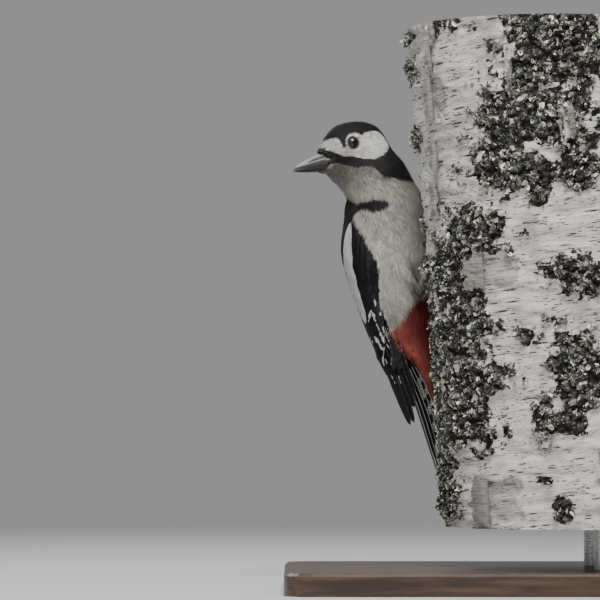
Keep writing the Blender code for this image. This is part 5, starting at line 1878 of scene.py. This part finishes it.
def make_lichen(bark, material):
    """Leafy flakes over the plates of broken bark, few and painted dark as shade in the cracks, fewer at the
    back.
    """
    wanted = 10500
    tries = wanted * 22
    bearing = rng.uniform(-math.pi, math.pi, tries)
    z = rng.uniform(LOG_FOOT + 2, LOG_TOP - 1.5, tries)
    lift, broken, height = bark.lift_at(bearing, z)
    front = np.where((bearing > -2.1) & (bearing < 0.3), 1.0, 0.35)
    likely = broken * front * (0.10 + height ** 1.5)
    kept = np.flatnonzero(likely > rng.uniform(0.05, 1.0, tries))[:wanted]
    bearing, z, lift, height = (values[kept] for values in (bearing, z, lift, height))
    sizes = rng.uniform(0.6, 1.6, len(z)) * mix(0.7, 1.1, height)
    normals = unit(log_out(bearing) + rng.normal(0, 0.75, (len(z), 3)) + np.array([0, 0, 0.2]))
    tones = LICHEN_TONES[rng.choice(len(LICHEN_TONES), len(z), p=CRUST_SHARES)]
    # painted light and shade: flakes darker the deeper they lie in the cracks, lighter on top of the plates
    tones = tones * mix(0.35, 1.35, height)[:, None] * rng.normal(1, 0.12, (len(z), 1))
    middles = log_point(bearing, z, lift + 0.15)
    tones = tones * (1 + 1.1 * wander(middles, (6.0, 6.0, 8.0), 44.0, 2))[:, None].clip(0.35, 1.7)
    points, tint, faces = flakes(middles, normals, sizes, tones, 0.35)
    return finish(build("lichen_crust", points, faces, material, tint), "bark")


def make_lichen_tufts(bark, material):
    """Bushy tufts at the trunk's edge: short branches, leafed with small flakes along their length."""
    middles, normals, tones = [], [], []
    for height, half, reach, share in EDGE_TUFTS:
        for _ in range(round(half * share * (5.5))):
            bearing, z = math.radians(rng.normal(-5, 5)), height + rng.normal(0, half * 0.45)
            z = float(np.clip(z, LOG_FOOT + 3, LOG_TOP - 2))
            place = log_point(bearing, z, float(bark.lift_at(np.array(bearing), np.array(z))[0]))
            ahead = unit(log_out(bearing) + rng.normal(0, 0.55, 3))
            length = reach * rng.uniform(0.35, 1.0) * math.exp(-((z - height) / half) ** 2)
            tone = LICHEN_TONES[rng.choice(len(LICHEN_TONES), p=TUFT_SHARES)]
            for _ in range(max(3, round(length / BRANCH_STEP))):
                ahead = unit(ahead + rng.normal(0, 0.22, 3))
                place = place + ahead * BRANCH_STEP
                middles.append(place + rng.normal(0, 0.22, 3))
                normals.append(unit(rng.normal(0, 1, 3) + ahead * 0.4))
                tones.append(tone * rng.uniform(0.6, 1.25))
    sizes = rng.uniform(0.45, 1.15, len(middles))
    points, tint, faces = flakes(np.array(middles), np.array(normals), sizes, np.array(tones), 0.5)
    return finish(build("lichen_tufts", points, faces, material, tint), "bark")


def finish_stand(wood, steel):
    """The stand's solids keep their shapes and take their finish."""
    for node, material in (("stand_base", wood), ("stand_rod_1", steel), ("stand_rod_2", steel)):
        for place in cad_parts[node].material_slots:
            place.material = material


# Floor, light and camera

TARGET = (-0.11256, 0.060, 0.15904)
CAMERA_PLACE = (-0.11256, -1.940, 0.0833)
FOCAL_PIXELS, PICTURE_PIXELS, SENSOR = 3574.0, 600.0, 36.0
FLOOR_RINGS = (1600.0, 800.0, 300.0, 1.0)
LIT_PLACE = (-0.03, 0.02, 0.17)
# Square lights: name, place, side in metres, watts
LIGHTS = (
    ("key", (-0.05, -1.05, 1.75), 0.65, 46),
    ("fill", (-0.5, -1.9, 0.9), 1.4, 5),
    ("rim", (-0.9, 1.2, 1.4), 0.8, 7),
)
SKY_COLOUR, SKY_STRENGTH = (0.56, 0.56, 0.565, 1), 0.53


def point_at(obj, place, target):
    """Puts a camera or a light at a place, looking at a target."""
    obj.location = place
    obj.rotation_euler = (Vector(target) - Vector(place)).to_track_quat("-Z", "Y").to_euler()


def make_camera():
    data = bpy.data.cameras.new("camera")
    data.sensor_width = SENSOR
    data.lens = FOCAL_PIXELS / PICTURE_PIXELS * SENSOR
    data.clip_start, data.clip_end = 0.05, 60.0
    camera = link("camera", data)
    point_at(camera, CAMERA_PLACE, TARGET)
    bpy.context.scene.camera = camera


def make_floor():
    """A wide pale floor that fades into the even background far from the model."""
    made = Shader("studio_floor", (0.62, 0.62, 0.62), 0.9)
    place = made.node("NewGeometry").outputs["Position"]
    far = made.node("VectorMath", {0: place}, operation="LENGTH").outputs["Value"]
    clear = made.node("BsdfTransparent").outputs["BSDF"]
    fade = made.ramp(far, 0.35, 1.5)
    both = made.node("MixShader", {0: fade, 1: made.bsdf.outputs["BSDF"], 2: clear}).outputs["Shader"]
    made.tree.links.new(both, made.tree.nodes["Material Output"].inputs["Surface"])
    columns = 96
    turns = np.linspace(0, 2 * math.pi, columns, endpoint=False)
    rings = [np.stack([np.cos(turns) * r, np.sin(turns) * r, np.zeros(columns)], -1) for r in FLOOR_RINGS]
    grid, _, middle = tube_faces(len(rings), columns)
    build("floor", np.vstack(rings), [grid, middle], made.material)


def make_lights():
    world = bpy.data.worlds.new("studio")
    world.use_nodes = True
    sky = world.node_tree.nodes["Background"].inputs
    sky["Color"].default_value, sky["Strength"].default_value = SKY_COLOUR, SKY_STRENGTH
    bpy.context.scene.world = world
    for name, place, side, watts in LIGHTS:
        data = bpy.data.lights.new(name, "AREA")
        data.shape = "RECTANGLE"
        data.size, data.size_y = side, side
        data.energy = watts
        point_at(link(name, data), place, LIT_PLACE)


def make_bird():
    plumage, vane = plumage_shader(), vane_shader()
    surface = skin_surface()
    make_skin(surface, skin_shader())
    make_coat(surface, plumage)
    cover = Cover(surface)
    make_mantle(cover, vane)
    make_flank(cover, plumage)
    scales, claw = scale_shader(), claw_shader()
    for side, word in BODY_SIDES:
        make_coverts(cover, side, word, vane)
        make_scapulars(cover, side, word, vane)
        make_flight(cover, side, word, vane)
        make_tail(side, word, vane)
        make_leg(side, word, scales, claw)
        make_leg_feathers(side, word, plumage)
    horn, eye, lid = bill_shader(), eye_shader(), lid_shader()
    make_bill(horn)
    for side, word in HEAD_SIDES:
        make_gape(surface, side, word, horn)
        make_eye(side, word, eye)
        make_lids(side, word, lid)
    make_chin(plumage)
    make_nasal_tufts(plumage)


def make_birch():
    bark = Bark()
    bark.make(bark_shader())
    bark.make_ends(end_grain_shader())
    make_peels(bark, peel_shader())
    lichen = lichen_shader()
    make_lichen(bark, lichen)
    make_lichen_tufts(bark, lichen)


def main():
    make_camera()
    make_floor()
    make_lights()
    make_bird()
    make_birch()
    finish_stand(stand_wood_shader(), stand_steel_shader())


main()
